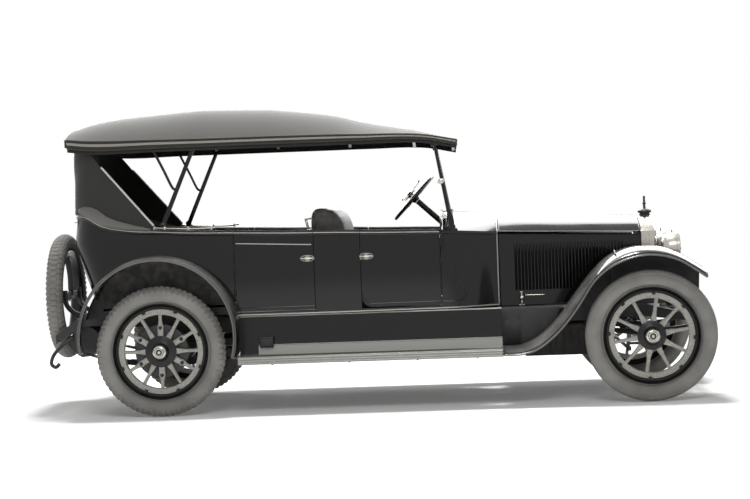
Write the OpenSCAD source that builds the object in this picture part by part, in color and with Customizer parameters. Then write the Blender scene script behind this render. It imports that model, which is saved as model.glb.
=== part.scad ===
// 1920s touring car, raised folding top, spare wheel at the back.
// Millimetres. +X forward, +Y to the left, +Z up. Origin on the ground, mid length, mid width.

/* [Wheels] */
// Distance between the axles
wheelbase = 3454; // [3440:1:3460]
// Distance between the middles of the tyres of one axle
track = 1436; // [1430:1:1440]
// Tyre radius, to the tread
tyre_r = 463; // [460:1:464]
// Tyre width
tyre_w = 130; // [120:1:134]
// Radius of the steel rim's flange
rim_r = 340; // [336:1:342]
// Spokes in a front wheel
front_spokes = 10; // [8:1:12]
// Spokes in a rear wheel
rear_spokes = 12; // [10:1:12]

/* [Body] */
// Thickness of a body wall or door
wall = 42; // [30:1:44]
// Height of the bottom edge of the body
body_base_z = 692; // [690:1:700]
// Height of the sill's top, under the doors
sill_z = 722; // [718:1:726]
// Gap round a door
door_gap = 8; // [7:1:10]

/* [Hood] */
// Sheet thickness of the hood in this model
hood_t = 6; // [4:1:8]
// Gap at the hood's hinges and ends
hood_gap = 6; // [5:1:8]

/* [Fenders] */
// Outer edge of the fenders, from the centre plane
fender_y = 866; // [850:1:870]
// Fender sheet thickness in this model
fender_t = 6; // [5:1:8]
// Top of the running boards
board_z = 410; // [405:1:415]

/* [Top] */
// Half width of the folding top
top_half = 640; // [630:1:645]
// Thickness of the top with its lining
top_t = 12; // [8:1:14]

/* [Hidden] */
$fn = 64;

RIGHT = 1;    // the modules below draw the right-hand side, y below zero
LEFT = -1;
black = "#26272a";
rubber = "#a3a29d";
paint_light = "#c4c2bb";
bright = "#c9cac8";
cloth = "#4b4a48";
hide = "#3a3836";

// Axles
rear_x = -1515;
front_x = rear_x + wheelbase;
axle_z = tyre_r;
wheel_y = track / 2;
spindle_r = 22;
bore_play = 0.05;

// Body outline: x, half width
PLAN = [[-2165, 640], [-1915, 655], [-1600, 676], [-1000, 680], [-400, 677], [-80, 664], [200, 644],
    [485, 612], [585, 590], [720, 520], [890, 426], [1400, 358], [1934, 302]];
// Belt line: x, z
BELT = [[-2165, 1446], [-2065, 1440], [-1915, 1368], [-1715, 1330], [-1515, 1318], [-1315, 1305],
    [-1015, 1295], [-615, 1280], [-215, 1270], [-15, 1262], [485, 1248], [585, 1243], [894, 1223],
    [1934, 1185]];
// Centre line of the cowl and hood: x, z
CREST = [[485, 1384], [585, 1377], [894, 1352], [1934, 1293]];
corner_r = 250;
back_x = -2165;
belly_z = 1050;              // height of the widest line
tub_front_x = 484;
hood_rear_x = 894;
hood_front_x = 1934;
rear_door = [-972, -418];    // x of the rear and front edges
front_door = [-77, 477];
arch_x = -1525;
arch_z = 565;
arch_r = 552;
wheelhouse_y = 585;
rear_floor_z = 770;
door_round = 75;             // radius of the front door's lower rear corner
rear_base_z = 756;           // lower edge of the body behind the rear wheel

function half_at(x) = lookup(x, PLAN);
function belt_at(x) = lookup(x, BELT);
function crest_at(x) = lookup(x, CREST);
// How far a wall stands in from the widest line at height z; the back leans in more low down
function tuck(z, rear) = 18 * pow((z - belly_z) / 300, 2) + rear * 0.33 * max(0, 1240 - z);
// Lower edge of the body, lifted over the rear wheel and above the rails behind it
function base_at(x) = max(x < arch_x ? rear_base_z : body_base_z,
    abs(x - arch_x) < arch_r ? arch_z + sqrt(pow(arch_r, 2) - pow(x - arch_x, 2)) : 0);

// Stations round the body from the right front to the middle of the back:
// x, y, outward normal x, outward normal y
side_xs = [tub_front_x, 200, front_door[0] - door_gap + 0.4, front_door[0] - door_gap, -250,
    rear_door[1] + door_gap, rear_door[1] + door_gap - 0.4, -700, rear_door[0] - door_gap + 0.4,
    rear_door[0] - door_gap];
arch_xs = [for (t = [15 : 15 : 120]) arch_x + arch_r * cos(t)];
SIDE = [for (x = concat(side_xs, arch_xs)) [x, -half_at(x), 0, -1]];
corner_y = half_at(-1915) - corner_r;
CORNER = [for (t = [0 : 15 : 90])
    [back_x + corner_r - corner_r * sin(t), -corner_y - corner_r * cos(t), -sin(t), -cos(t)]];
BACK = [for (y = [-270, -135, 0]) [back_x, y, -1, 0]];
HALF_RING = concat(SIDE, CORNER, BACK);

function mirrored(s) = [s[0], -s[1], s[2], -s[3]];
function closed_ring(half) = concat(half, [for (i = [len(half) - 2 : -1 : 0]) mirrored(half[i])]);
// A point on a station's wall, at height z and depth d inside the outer face
function on_wall(s, z, d) = [s[0] - s[2] * (tuck(z, abs(s[2])) + d),
    s[1] - s[3] * (tuck(z, abs(s[2])) + d), z];

// Closed solid between two grids of points, rows by columns. Seen from outside on P, the columns
// run to the left of the way that the rows go.
module skin(P, Q) {
    m = len(P);
    n = len(P[0]);
    function at(g, i, j) = (g * m + i) * n + j;
    a = m - 1;
    b = n - 1;
    quads = concat(
        [for (i = [0 : a - 1], j = [0 : b - 1])
            [at(0, i, j), at(0, i, j + 1), at(0, i + 1, j + 1), at(0, i + 1, j)]],
        [for (i = [0 : a - 1], j = [0 : b - 1])
            [at(1, i, j), at(1, i + 1, j), at(1, i + 1, j + 1), at(1, i, j + 1)]],
        [for (i = [0 : a - 1]) [at(0, i, 0), at(0, i + 1, 0), at(1, i + 1, 0), at(1, i, 0)]],
        [for (i = [0 : a - 1]) [at(0, i, b), at(1, i, b), at(1, i + 1, b), at(0, i + 1, b)]],
        [for (j = [0 : b - 1]) [at(0, 0, j), at(1, 0, j), at(1, 0, j + 1), at(0, 0, j + 1)]],
        [for (j = [0 : b - 1]) [at(0, a, j), at(0, a, j + 1), at(1, a, j + 1), at(1, a, j)]]);
    polyhedron([for (g = [P, Q], row = g, p = row) p],
        [for (q = quads) each [[q[0], q[1], q[2]], [q[0], q[2], q[3]]]]);
}

// Draws its children on the right, on the left, or on both sides
module sides(which = [RIGHT, LEFT]) for (s = which) scale([1, s, 1]) children();
// A flat outline of x and z, as thick as the span y0 to y1
module plate(y0, y1) translate([0, y1, 0]) rotate([90, 0, 0]) linear_extrude(y1 - y0) children();
// A flat bar between two points of a side plane
module bar(p, q, wide, y0, y1) {
    d = q - p;
    translate([p[0], 0, p[1]]) rotate([0, -atan2(d[1], d[0]), 0])
        translate([0, y0, -wide / 2]) cube([norm(d), y1 - y0, wide]);
}
// A round rod between two points
module rod(p, q, r) {
    d = q - p;
    translate(p) rotate([0, acos(d[2] / norm(d)), atan2(d[1], d[0])]) cylinder(r = r, h = norm(d));
}
// A shaft along y
module shaft(x, z, r, y0, y1) translate([x, y1, z]) rotate([90, 0, 0]) cylinder(r = r, h = y1 - y0);

// Frame

rail_w = 44;
rail_end_x = 2330;
rail_rear_y = 430;
rail_front_y = 352;
rail_turn = atan2(rail_rear_y - rail_front_y, 2 * rail_end_x);
// Side of a rail: x, z
RAIL = [[-rail_end_x, 520], [-2120, 640], [-1950, 640], [-1500, 610], [-1100, 560], [1500, 560],
    [1900, 580], [rail_end_x, 520], [rail_end_x, 560], [1950, 660], [1700, 670], [-1100, 670],
    [-1350, 745], [-1900, 745], [-2110, 735], [-rail_end_x, 580]];
function rail_y(x) = rail_rear_y + (rail_front_y - rail_rear_y) * (x + rail_end_x) / (2 * rail_end_x);

// Towing hole through the rear end of each rail: x, z, radius
tow = [-2300, 545, 9];
module frame_rails() color(black) difference() {
    sides() translate([-rail_end_x, -rail_rear_y, 0]) rotate([0, 0, rail_turn])
        translate([rail_end_x, -rail_w / 2, 0]) plate(0, rail_w) polygon(RAIL);
    shaft(tow[0], tow[1], tow[2], -600, 600);
}

// Cross members: x, lower z, upper z
CROSS = [[-2080, 650, 700], [-1120, 590, 664], [-300, 600, 664], [470, 600, 664], [2100, 562, 608]];
cross_half = 45;
cross_gap = 0.3;
// Hole for the starting handle, through the front cross member: z, radius
crank = [585, 13];
module cross_members() color(black) difference() {
    for (c = CROSS) translate([0, 0, c[1]]) linear_extrude(c[2] - c[1])
        polygon([for (e = [[-1, -1], [1, -1], [1, 1], [-1, 1]]) let (x = c[0] + e[0] * cross_half)
            [x, e[1] * (rail_y(x) - rail_w / 2 - cross_gap)]]);
    translate([CROSS[4][0] - 60, 0, crank[0]]) rotate([0, 90, 0]) cylinder(r = crank[1], h = 120);
}

module engine_block() color("#5a5a58") {
    translate([1010, -170, 500]) cube([800, 340, 520]);
    translate([1080, -120, 290]) cube([460, 240, 230]);
    translate([540, -130, 430]) cube([490, 260, 250]);
}

module exhaust() color("#6b6660") {
    rod([1500, -235, 520], [-200, -235, 430], 27);
    rod([-180, -235, 430], [-900, -235, 430], 85);
    rod([-880, -235, 430], [-1200, -300, 420], 24);
}

tank = [-2125, 525, 110];    // x, z, radius
module fuel_tank() color(black) shaft(tank[0], tank[1], tank[2], -390, 390);

kingpin_y = 600;
kingpin_r = 14;
boss_r = 34;
boss_h = 90;

module front_axle() color(black) difference() {
    union() {
        translate([front_x - 24, -420, 370]) cube([48, 840, 62]);
        sides() {
            plate_end = 575;
            translate([front_x - 24, 0, 0]) rotate([90, 0, 90]) linear_extrude(48)
                polygon([[-plate_end, 438], [-plate_end, 488], [-545, 488], [-400, 432], [-400, 370],
                    [-440, 370]]);
            translate([front_x, -kingpin_y, axle_z - boss_h / 2]) cylinder(r = boss_r, h = boss_h);
        }
        sides() translate([front_x - 50, -395, 428]) cube([100, 70, 8]);
    }
    sides() translate([front_x, -kingpin_y, 0]) cylinder(r = kingpin_r + bore_play, h = 1000);
}

module rear_axle() color(black) {
    shaft(rear_x, axle_z, 42, -585, 585);
    sides() shaft(rear_x, axle_z, spindle_r, -wheel_y - 40, -580);
    shaft(rear_x, axle_z, 150, -80, 80);
    rod([rear_x + 100, 0, axle_z + 4], [536, 0, 540], 48);
}

// Leaf springs: axle x, y, half length, height at the axle, rise to the eyes, pack thickness
SPRINGS = [[0, 355, 440, 440, 70, 46], [1, 500, 640, 330, 130, 60]];
spring_w = 56;

module leaf_spring(cx, y, half, z0, rise, thick) {
    xs = [for (i = [-8 : 8]) i / 8];
    translate([cx, 0, 0]) plate(-y - spring_w / 2, -y + spring_w / 2) polygon(concat(
        [for (t = xs) [t * half, z0 + rise * t * t]],
        [for (i = [8 : -1 : -8]) let (t = i / 8)
            [t * half, z0 + rise * t * t + thick * (1 - 0.7 * abs(t))]]));
}
module leaf_springs() color(black) for (s = SPRINGS) sides()
    leaf_spring(s[0] == 0 ? front_x : rear_x, s[1], s[2], s[3], s[4], s[5]);

// Body

wall_rows = 6;
function wall_grid(ring, d, lows, highs) = [for (k = [0 : len(ring) - 1])
    [for (j = [0 : wall_rows]) on_wall(ring[k], lows[k] + (highs[k] - lows[k]) * j / wall_rows, d)]];

function in_door(x) = (x > rear_door[0] - door_gap + 0.1 && x < rear_door[1] + door_gap - 0.1)
    || x > front_door[0] - door_gap + 0.1;
function tub_top(x) = in_door(x) ? sill_z - door_gap : belt_at(x);

module wheelhouse() {
    plate(-wheelhouse_y - 12, -wheelhouse_y + 8) intersection() {
        translate([arch_x, arch_z]) circle(r = arch_r + 12);
        translate([arch_x - arch_r - 20, body_base_z + 10]) square([2 * arch_r + 40, arch_r + 20]);
    }
    plate(-half_at(arch_x) + 14, -wheelhouse_y) intersection() {
        difference() {
            translate([arch_x, arch_z]) circle(r = arch_r + 12);
            translate([arch_x, arch_z]) circle(r = arch_r);
        }
        translate([arch_x - arch_r - 20, body_base_z + 60]) square([2 * arch_r - 60, arch_r + 20]);
    }
}

floor_t = 16;
heel_x = -980;               // board between the two floors
// Floors in plan, one side: x, half width
FLOOR = [[heel_x - 10, 640], [tub_front_x - 2, 575]];
REAR_FLOOR = [[-1985, 400], [-1945, wheelhouse_y], [heel_x - 5, wheelhouse_y]];
// Both sides of a plan outline
module across(half) polygon(concat([for (p = half) [p[0], -p[1]]],
    [for (i = [len(half) - 1 : -1 : 0]) half[i]]));
module body_tub() color(black) {
    ring = closed_ring(HALF_RING);
    lows = [for (s = ring) base_at(s[0])];
    highs = [for (s = ring) tub_top(s[0])];
    skin(wall_grid(ring, wall, lows, highs), wall_grid(ring, 0, lows, highs));
    translate([0, 0, body_base_z + 6]) linear_extrude(floor_t) across(FLOOR);
    translate([0, 0, rear_floor_z - floor_t]) linear_extrude(floor_t) across(REAR_FLOOR);
    translate([heel_x - floor_t, -618, body_base_z + 6])
        cube([floor_t, 2 * 618, rear_floor_z - body_base_z - 8]);
    sides() wheelhouse();
}

// A door: the body wall between two edges, over a floor line
function door_low(x, edges, rounded) = sill_z + (rounded && x < edges[0] + door_round
    ? door_round - sqrt(max(0, pow(door_round, 2) - pow(edges[0] + door_round - x, 2))) : 0);
module door(edges, rounded) {
    steps = 9;
    xs = concat([for (t = [0 : 22.5 : 67.5]) edges[0] + door_round * (1 - cos(t))],
        [for (i = [0 : steps]) edges[0] + door_round + (edges[1] - edges[0] - door_round) * i / steps]);
    ring = [for (i = [len(xs) - 1 : -1 : 0]) [xs[i], -half_at(xs[i]), 0, -1]];
    lows = [for (s = ring) door_low(s[0], edges, rounded)];
    highs = [for (s = ring) belt_at(s[0])];
    skin(wall_grid(ring, wall, lows, highs), wall_grid(ring, 0, lows, highs));
}
module front_door_right() color(black) door(front_door, true);
module front_door_left() color(black) sides([LEFT]) door(front_door, true);
module rear_door_right() color(black) door(rear_door, false);
module rear_door_left() color(black) sides([LEFT]) door(rear_door, false);

// Cowl and hood section at x: the side from low to the shoulder, then over to the middle
side_rows = 3;
crown_rows = 6;
function shoulder(x, d) = [half_at(x) - d, belt_at(x) - d * 0.4];
function side_pts(x, low, d) = [for (j = [0 : side_rows]) let (s = shoulder(x, d))
    [x, -s[0], low + (s[1] - low) * j / side_rows]];
function crown_pt(x, y, d) = [x, -y,
    crest_at(x) - d - (crest_at(x) - belt_at(x) - d * 0.6) * pow(y / (half_at(x) - d), 2)];
function crown_pts(x, d, y_in) = [for (j = [0 : crown_rows])
    crown_pt(x, (half_at(x) - d) * (1 - j / crown_rows) + y_in * j / crown_rows, d)];
function flip(p) = [p[0], -p[1], p[2]];
function arch_pts(x, low, d) = let (h = concat(side_pts(x, low, d), [for (j = [1 : crown_rows])
        crown_pts(x, d, 0)[j]]))
    concat(h, [for (k = [len(h) - 2 : -1 : 0]) flip(h[k])]);

cowl_t = 16;
COWL_X = [485, 585, 650, 720, 800, 890];
column_slope = 43;           // fall of the steering column from level
wheel_hub = [288, 350, 1485];
column_d = [cos(column_slope), 0, -sin(column_slope)];

firewall_x = 868;
// A flat outline of y and z, as thick as t, from x forward
module across_car(x, t) translate([x, 0, 0]) rotate([90, 0, 90]) linear_extrude(t) children();
// The cowl's cross section at x, inside its skin
module arch_face(x) polygon([for (p = arch_pts(x, 700, 8)) [p[1], p[2]]]);
module cowl() color(black) difference() {
    union() {
        skin([for (x = COWL_X) arch_pts(x, body_base_z, 0)],
            [for (x = COWL_X) arch_pts(x, body_base_z, cowl_t)]);
        across_car(firewall_x, 16) arch_face(firewall_x + 8);
        across_car(500, 14) intersection() {
            arch_face(507);
            translate([-700, 1080]) square([1400, 400]);
        }
    }
    rod(wheel_hub + 100 * column_d, wheel_hub + 1000 * column_d, 32);
}

hood_xs = [for (i = [0 : 5])
    hood_rear_x + hood_gap + (hood_front_x - hood_rear_x - 2 * hood_gap) * i / 5];
hood_base_z = 682;
module hood_top() {
    function row(x, d) = [for (j = [0 : crown_rows])
        crown_pt(x, (half_at(x) - d - hood_gap) * (1 - j / crown_rows) + 4 * j / crown_rows, d)];
    skin([for (x = hood_xs) row(x, 0)], [for (x = hood_xs) row(x, hood_t)]);
}
module hood_side() {
    function row(x, d) = [for (j = [0 : side_rows]) [x, d - half_at(x),
        hood_base_z + (belt_at(x) - hood_gap - hood_t - hood_base_z) * j / side_rows]];
    skin([for (x = hood_xs) row(x, 0)], [for (x = hood_xs) row(x, hood_t)]);
}
module hood_top_right() color(black) hood_top();
module hood_top_left() color(black) sides([LEFT]) hood_top();
module hood_side_right() color(black) hood_side();
module hood_side_left() color(black) sides([LEFT]) hood_side();

radiator_depth = 114;
module radiator() color(bright) {
    x0 = hood_front_x;
    outline = [for (p = arch_pts(x0, 560, -3)) [p[1], p[2]]];
    across_car(x0, radiator_depth) polygon(outline);
    translate([x0 + 60, 0, 1280]) cylinder(r = 43, h = 64);
    translate([x0 + 60, 0, 1340]) cylinder(r = 12, h = 98);
}

// Seats, as side outlines
FRONT_SEAT = [[-430, 732], [-430, 1395], [-405, 1430], [-325, 1430], [-265, 1390], [-190, 1260],
    [-175, 1030], [240, 1050], [262, 1010], [235, 732]];
REAR_SEAT = [[-1935, 776], [-2028, 1100], [-2035, 1390], [-2005, 1425], [-1920, 1340], [-1860, 1050],
    [-1400, 1080], [-1360, 1030], [-1385, 776]];
module front_seat() color(hide) plate(-560, 560) polygon(FRONT_SEAT);
module rear_seat() color(hide) plate(-528, 528) polygon(REAR_SEAT);

// Windshield, in its own plane that leans back
screen_lean = 10;
screen_foot = [572, 1268];
screen_half = 575;
screen_low = 128;            // along the lean, from the foot to the lower bar
screen_mid = 335;
screen_top = 612;
bar_w = 22;
module screen() translate([screen_foot[0], 0, screen_foot[1]]) rotate([0, -screen_lean, 0]) children();
module windshield_frame() color(bright) screen() {
    sides() translate([-14, -screen_half, 0]) cube([28, bar_w, screen_top]);
    for (z = [screen_low, screen_mid - bar_w / 2, screen_top - bar_w])
        translate([-14, -screen_half + 1, z]) cube([28, 2 * screen_half - 2, bar_w]);
}
module windshield_glass() color("#aab4b4", 0.35) screen()
    for (s = [[screen_low + bar_w, screen_mid - bar_w / 2], [screen_mid + bar_w / 2, screen_top - bar_w]])
        translate([-3, -screen_half + bar_w, s[0]]) cube([6, 2 * (screen_half - bar_w), s[1] - s[0]]);

// Folding top: x, lower edge of the side, upper edge of the side, crown height
TOP = [[-2165, 1908, 1985, 2085], [-2000, 1908, 1970, 2134], [-1515, 1908, 1962, 2176],
    [-1165, 1908, 1958, 2190], [-715, 1908, 1956, 2172], [-315, 1908, 1952, 2122], [-65, 1908, 1946, 2060],
    [385, 1900, 1928, 1966], [625, 1854, 1884, 1897]];
top_cols = 12;
function top_row(s, d) = concat([[s[0], d - top_half, s[1]]],
    [for (j = [0 : top_cols]) let (t = 180 * j / top_cols)
        [s[0], -(top_half - d) * cos(t), s[2] - d + (s[3] - s[2]) * (1 - pow(abs(cos(t)), 2.4))]],
    [[s[0], top_half - d, s[1]]]);
module top_deck() color(cloth) skin([for (s = TOP) top_row(s, 0)], [for (s = TOP) top_row(s, top_t)]);

quarter_foot = [-1545, 1340];
quarter_head = [-2155, 2050];
function quarter_z(x) = min(quarter_head[1], quarter_foot[1] + 12
    + (quarter_head[1] - quarter_foot[1]) * (quarter_foot[0] - x) / (quarter_foot[0] - quarter_head[0]));
CURTAIN_RING = closed_ring(concat([for (x = [quarter_foot[0], -1700, -1850]) [x, -half_at(x), 0, -1]],
    CORNER, BACK));
curtain_lean = 0.06;         // leans in over its height
curtain_in = 24;             // stands in from the belt
function curtain_pt(s, z, lo, d) = let (lean = curtain_in + curtain_lean * (z - lo) + d)
    [s[0] - s[2] * lean * 0.4, s[1] - s[3] * lean, z];
// Underside of the deck over a point of plan, less a little room
function under_deck(p) = let (u = min(1, abs(p[1]) / (top_half - top_t)))
    top_at(p[0], 2) - top_t - 6 + (top_at(p[0], 3) - top_at(p[0], 2)) * (1 - pow(u, 2.4));
function curtain_grid(d) = [for (s = CURTAIN_RING)
    let (lo = belt_at(s[0]) + 6, head = curtain_pt(s, 2000, lo, 0),
        hi = max(lo + 8, min(quarter_z(s[0]), under_deck(head))))
    [for (j = [0 : wall_rows]) curtain_pt(s, lo + (hi - lo) * j / wall_rows, lo, d)]];
module top_curtains() color(cloth) difference() {
    skin(curtain_grid(10), curtain_grid(0));
    translate([-2300, -260, 1640]) cube([300, 520, 210]);
}

// Bows: x where each meets the top, with the iron's foot
BOWS = [-1245, -760, -200, 300];
bow_drop = 3;
bow_h = 30;
bow_w = 36;
function top_at(x, col) = lookup(x, [for (s = TOP) [s[0], s[col]]]);
module top_bows() color(paint_light) {
    for (x = BOWS) across_car(x - bow_w / 2, bow_w) polygon(concat(
        [for (j = [0 : top_cols]) bow_pt(x, 180 * j / top_cols, top_t + bow_drop)],
        [for (j = [top_cols : -1 : 0]) bow_pt(x, 180 * j / top_cols, top_t + bow_drop + bow_h)]));
    sides() {
        bar([-1490, 1345], [-1245, 1905], 30, -616, -606);
        bar([-1395, 1610], [-1545, 1900], 20, -604, -596);
    }
}
function bow_pt(x, t, d) = [-(top_half - d - 6) * cos(t),
    top_at(x, 2) - d + (top_at(x, 3) - top_at(x, 2)) * (1 - pow(abs(cos(t)), 2.4)) - 4];

// Lamps
lamp = [2128, 340, 1053, 125];    // x of the bowl's middle, y, z, radius
lamp_foot_z = 620;
module lamps() color(bright) {
    sides() translate([lamp[0], -lamp[1], lamp[2]]) rotate([0, 90, 0])
        rotate_extrude() polygon([[0, -75], [80, -75], [lamp[3], 0], [lamp[3], 65], [0, 78]]);
    sides() translate([lamp[0], -lamp[1], lamp_foot_z])
        cylinder(r = 14, h = lamp[2] - 100 - lamp_foot_z);
    translate([-2230, 500, 880]) rotate([0, 90, 0]) cylinder(r = 50, h = 60);
}

// Fenders. Front: x, crown height, edge height
FRONT_FENDER = [[905, 412, 360], [1035, 420, 362], [1135, 462, 398], [1235, 540, 470], [1335, 650, 570],
    [1435, 782, 700], [1535, 905, 850], [1635, 1005, 940], [1735, 1062, 992], [1835, 1088, 1022],
    [1935, 1094, 1034], [2035, 1080, 1022], [2135, 1044, 988], [2235, 985, 925], [2325, 925, 862]];
REAR_FENDER = [for (a = [-16 : 14.7 : 190]) a];
rear_inner_y = 690;
front_inner_y = 470;
front_cols = 8;
function front_row(s, d) = concat([[s[0], -front_inner_y, s[1] - 8 - d]],
    [for (j = [0 : front_cols]) let (t = 90 * j / front_cols)
        [s[0], -640 - (fender_y - 640 - d) * sin(t), s[2] + (s[1] - s[2] - d) * cos(t)]]);
function rear_row(a, d) = concat([fender_pt(a, rear_inner_y, 578 - d)],
    [for (j = [0 : front_cols]) let (t = 90 * j / front_cols)
        fender_pt(a, 740 + (fender_y - 740 - d) * sin(t), 545 + (577 - 545 - d) * cos(t))]);
function fender_pt(a, y, r) = [arch_x + r * cos(a), -y, arch_z + r * sin(a)];
module fenders() color(black) sides() {
    skin([for (s = FRONT_FENDER) front_row(s, fender_t)], [for (s = FRONT_FENDER) front_row(s, 0)]);
    skin([for (a = REAR_FENDER) rear_row(a, 0)], [for (a = REAR_FENDER) rear_row(a, fender_t)]);
}

board_x = [-960, 900];
// Board and the valance behind it, in section: y, z
BOARD = [[-838, board_z], [-838, board_z - 54], [-832, board_z - 54], [-832, board_z - 24],
    [-640, board_z - 24], [-606, 500], [-600, 684], [-608, 684], [-614, 504], [-646, board_z]];
module running_boards() color(bright) sides()
    across_car(board_x[0], board_x[1] - board_x[0]) polygon(BOARD);

// Spare wheel
spare_x = -2337;
spare_z = 846;
module spare_tyre() color(rubber) translate([spare_x, 0, spare_z]) rotate([0, 90, 0]) tyre();
module spare_carrier() color(black) {
    translate([spare_x, 0, spare_z]) rotate([0, 90, 0]) rim();
    translate([spare_x - 12, -300, spare_z - 30]) cube([24, 600, 60]);
    sides() translate([spare_x + 10, -250, 0]) plate(0, 30)
        polygon([[0, 790], [0, 900], [30, 900], [250, 725], [250, 700], [180, 700]]);
}

// Wheels, drawn round the z axis and laid on their side by the caller
rim_half = 48;
module tyre() rotate_extrude($fn = 96) intersection() {
    translate([400, 0]) scale([1, tyre_w / 2 / 66]) circle(r = 66, $fn = 48);
    translate([rim_r - 4, -80]) square([tyre_r - rim_r + 4, 160]);
}
module turned() rotate_extrude($fn = 96) children();
module rim() turned() polygon([[302, -30], [302, 30], [316, 34], [336, rim_half], [336, -rim_half],
    [316, -34]]);
module felloe() turned() polygon([[262, -26], [262, 26], [302, 26], [302, 30], [316, 34], [336, rim_half],
    [336, -rim_half], [316, -34], [302, -30], [302, -26]]);
hub_bore = spindle_r + bore_play;
cap_end = 112;
module hub(flange_r, drum) turned() polygon(concat(
    drum ? [[hub_bore, -60], [60, -60], [60, -92], [190, -92], [190, -14], [72, -14]]
        : [[hub_bore, -52], [72, -52]],
    [[72, 10], [flange_r, 10], [flange_r, 29], [72, 29], [72, 50], [52, 54], [52, cap_end], [0, cap_end],
        [0, 40.5], [hub_bore, 40.5]]));
module wheel(count, first, flange_r, drum) {
    rotate([0, 0, first + 180 / count]) {
        felloe();
        hub(flange_r, drum);
    }
    root = 66 * sin(180 / count);
    for (i = [0 : count - 1]) rotate([0, 0, first + 360 * i / count])
        translate([0, 0, -17]) linear_extrude(34) polygon([[60, -root], [268, -13], [268, 13], [60, root]]);
}
module corner(x, s) translate([x, -s * wheel_y, axle_z]) rotate([s > 0 ? 90 : -90, 0, 0]) children();
module front_wheel(s) color(paint_light) corner(front_x, s) wheel(front_spokes, 9, 101, false);
module rear_wheel(s) color(paint_light) corner(rear_x, s) wheel(rear_spokes, 0, 111, true);
module wheel_front_right() front_wheel(RIGHT);
module wheel_front_left() front_wheel(LEFT);
module wheel_rear_right() rear_wheel(RIGHT);
module wheel_rear_left() rear_wheel(LEFT);
module tyre_front_right() color(rubber) corner(front_x, RIGHT) tyre();
module tyre_front_left() color(rubber) corner(front_x, LEFT) tyre();
module tyre_rear_right() color(rubber) corner(rear_x, RIGHT) tyre();
module tyre_rear_left() color(rubber) corner(rear_x, LEFT) tyre();

// Steering

ear_t = 20;
ear_gap = 5;
tie_x = front_x - 150;
tie_y = kingpin_y;
tie_z = 372;
link_y = 402;
pitman_pivot = [1120, 640];
pitman_end_z = 470;
module knuckle() {
    top_z = axle_z + boss_h / 2 + ear_gap;
    low_z = axle_z - boss_h / 2 - ear_gap - ear_t;
    for (z = [low_z, top_z]) {
        translate([front_x, -kingpin_y, z]) cylinder(r = 32, h = ear_t);
        translate([front_x - 28, -kingpin_y - 56, z]) cube([56, 56, ear_t]);
    }
    translate([front_x - 28, -kingpin_y - 56, low_z]) cube([56, 14, top_z + ear_t - low_z]);
    translate([front_x, -kingpin_y, low_z]) cylinder(r = kingpin_r, h = top_z + ear_t - low_z);
    shaft(front_x, axle_z, spindle_r, -wheel_y - 40, -kingpin_y - 50);
    translate([0, 0, low_z]) linear_extrude(16)
        polygon([[front_x - 20, -kingpin_y - 20], [tie_x - 15, -tie_y - 16], [tie_x - 15, -tie_y + 16],
            [front_x - 20, -kingpin_y + 20]]);
    translate([tie_x, -tie_y, tie_z]) cylinder(r = 9, h = low_z - tie_z + 8);
}
module knuckle_right() color(black) knuckle();
module knuckle_left() color(black) {
    sides([LEFT]) knuckle();
    translate([front_x - 18, link_y, axle_z + boss_h / 2 + ear_gap]) cube([36, kingpin_y - link_y, ear_t]);
    translate([front_x, link_y, axle_z + boss_h / 2 + ear_gap]) cylinder(r = 20, h = ear_t);
}
module tie_rod() color(black) difference() {
    union() {
        shaft(tie_x, tie_z - 6, 12, -tie_y, tie_y);
        sides() translate([tie_x, -tie_y, tie_z - 22]) cylinder(r = 18, h = 30);
    }
    sides() translate([tie_x, -tie_y, tie_z - 2]) cylinder(r = 9.5, h = 40);
}
module drag_link() color(black) {
    rod([pitman_pivot[0] + 30, link_y, 437], [front_x - 12, link_y, 490], 11);
    translate([front_x, link_y, 476]) cylinder(r = 18, h = 31);
}
module pitman_arm() color(black) {
    shaft(pitman_pivot[0], pitman_pivot[1], 20, 400, 430);
    bar(pitman_pivot, [pitman_pivot[0], pitman_end_z], 32, 414, 430);
}
column_end = 1090;
module steering_column() color(black) {
    rod(wheel_hub + 36 * column_d, wheel_hub + column_end * column_d, 22);
    translate([1050, 255, 600]) cube([150, 90, 165]);
}
module steering_wheel() color("#5a3a26") translate(wheel_hub)
        rotate([0, 90 + column_slope, 0]) {
    rotate_extrude() translate([209, 0]) circle(r = 13, $fn = 24);
    for (a = [45 : 90 : 315]) rotate([0, 0, a]) translate([0, -9, -6]) cube([200, 18, 12]);
    translate([0, 0, -20]) cylinder(r = 36, h = 40);
}

frame_rails();
cross_members();
engine_block();
exhaust();
fuel_tank();
front_axle();
rear_axle();
leaf_springs();
body_tub();
cowl();
front_seat();
rear_seat();
windshield_frame();
windshield_glass();
top_deck();
top_curtains();
top_bows();
radiator();
lamps();
fenders();
running_boards();
spare_tyre();
spare_carrier();
steering_column();
steering_wheel();
knuckle_left();
knuckle_right();
tie_rod();
drag_link();
pitman_arm();
tyre_front_left();
tyre_front_right();
tyre_rear_left();
tyre_rear_right();
wheel_front_left();
wheel_front_right();
wheel_rear_left();
wheel_rear_right();
front_door_left();
front_door_right();
rear_door_left();
rear_door_right();
hood_top_left();
hood_top_right();
hood_side_left();
hood_side_right();
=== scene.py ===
"""The looks of a 1920s touring car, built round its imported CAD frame.

Metres throughout; +X forward, +Y to the car's left, +Z up, the origin on the ground at mid length.
"""

import logging
import math
from dataclasses import dataclass, field
from enum import Enum
from typing import Optional, Sequence

import bmesh
import bpy
import numpy as np
from mathutils import Matrix, Vector


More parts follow.
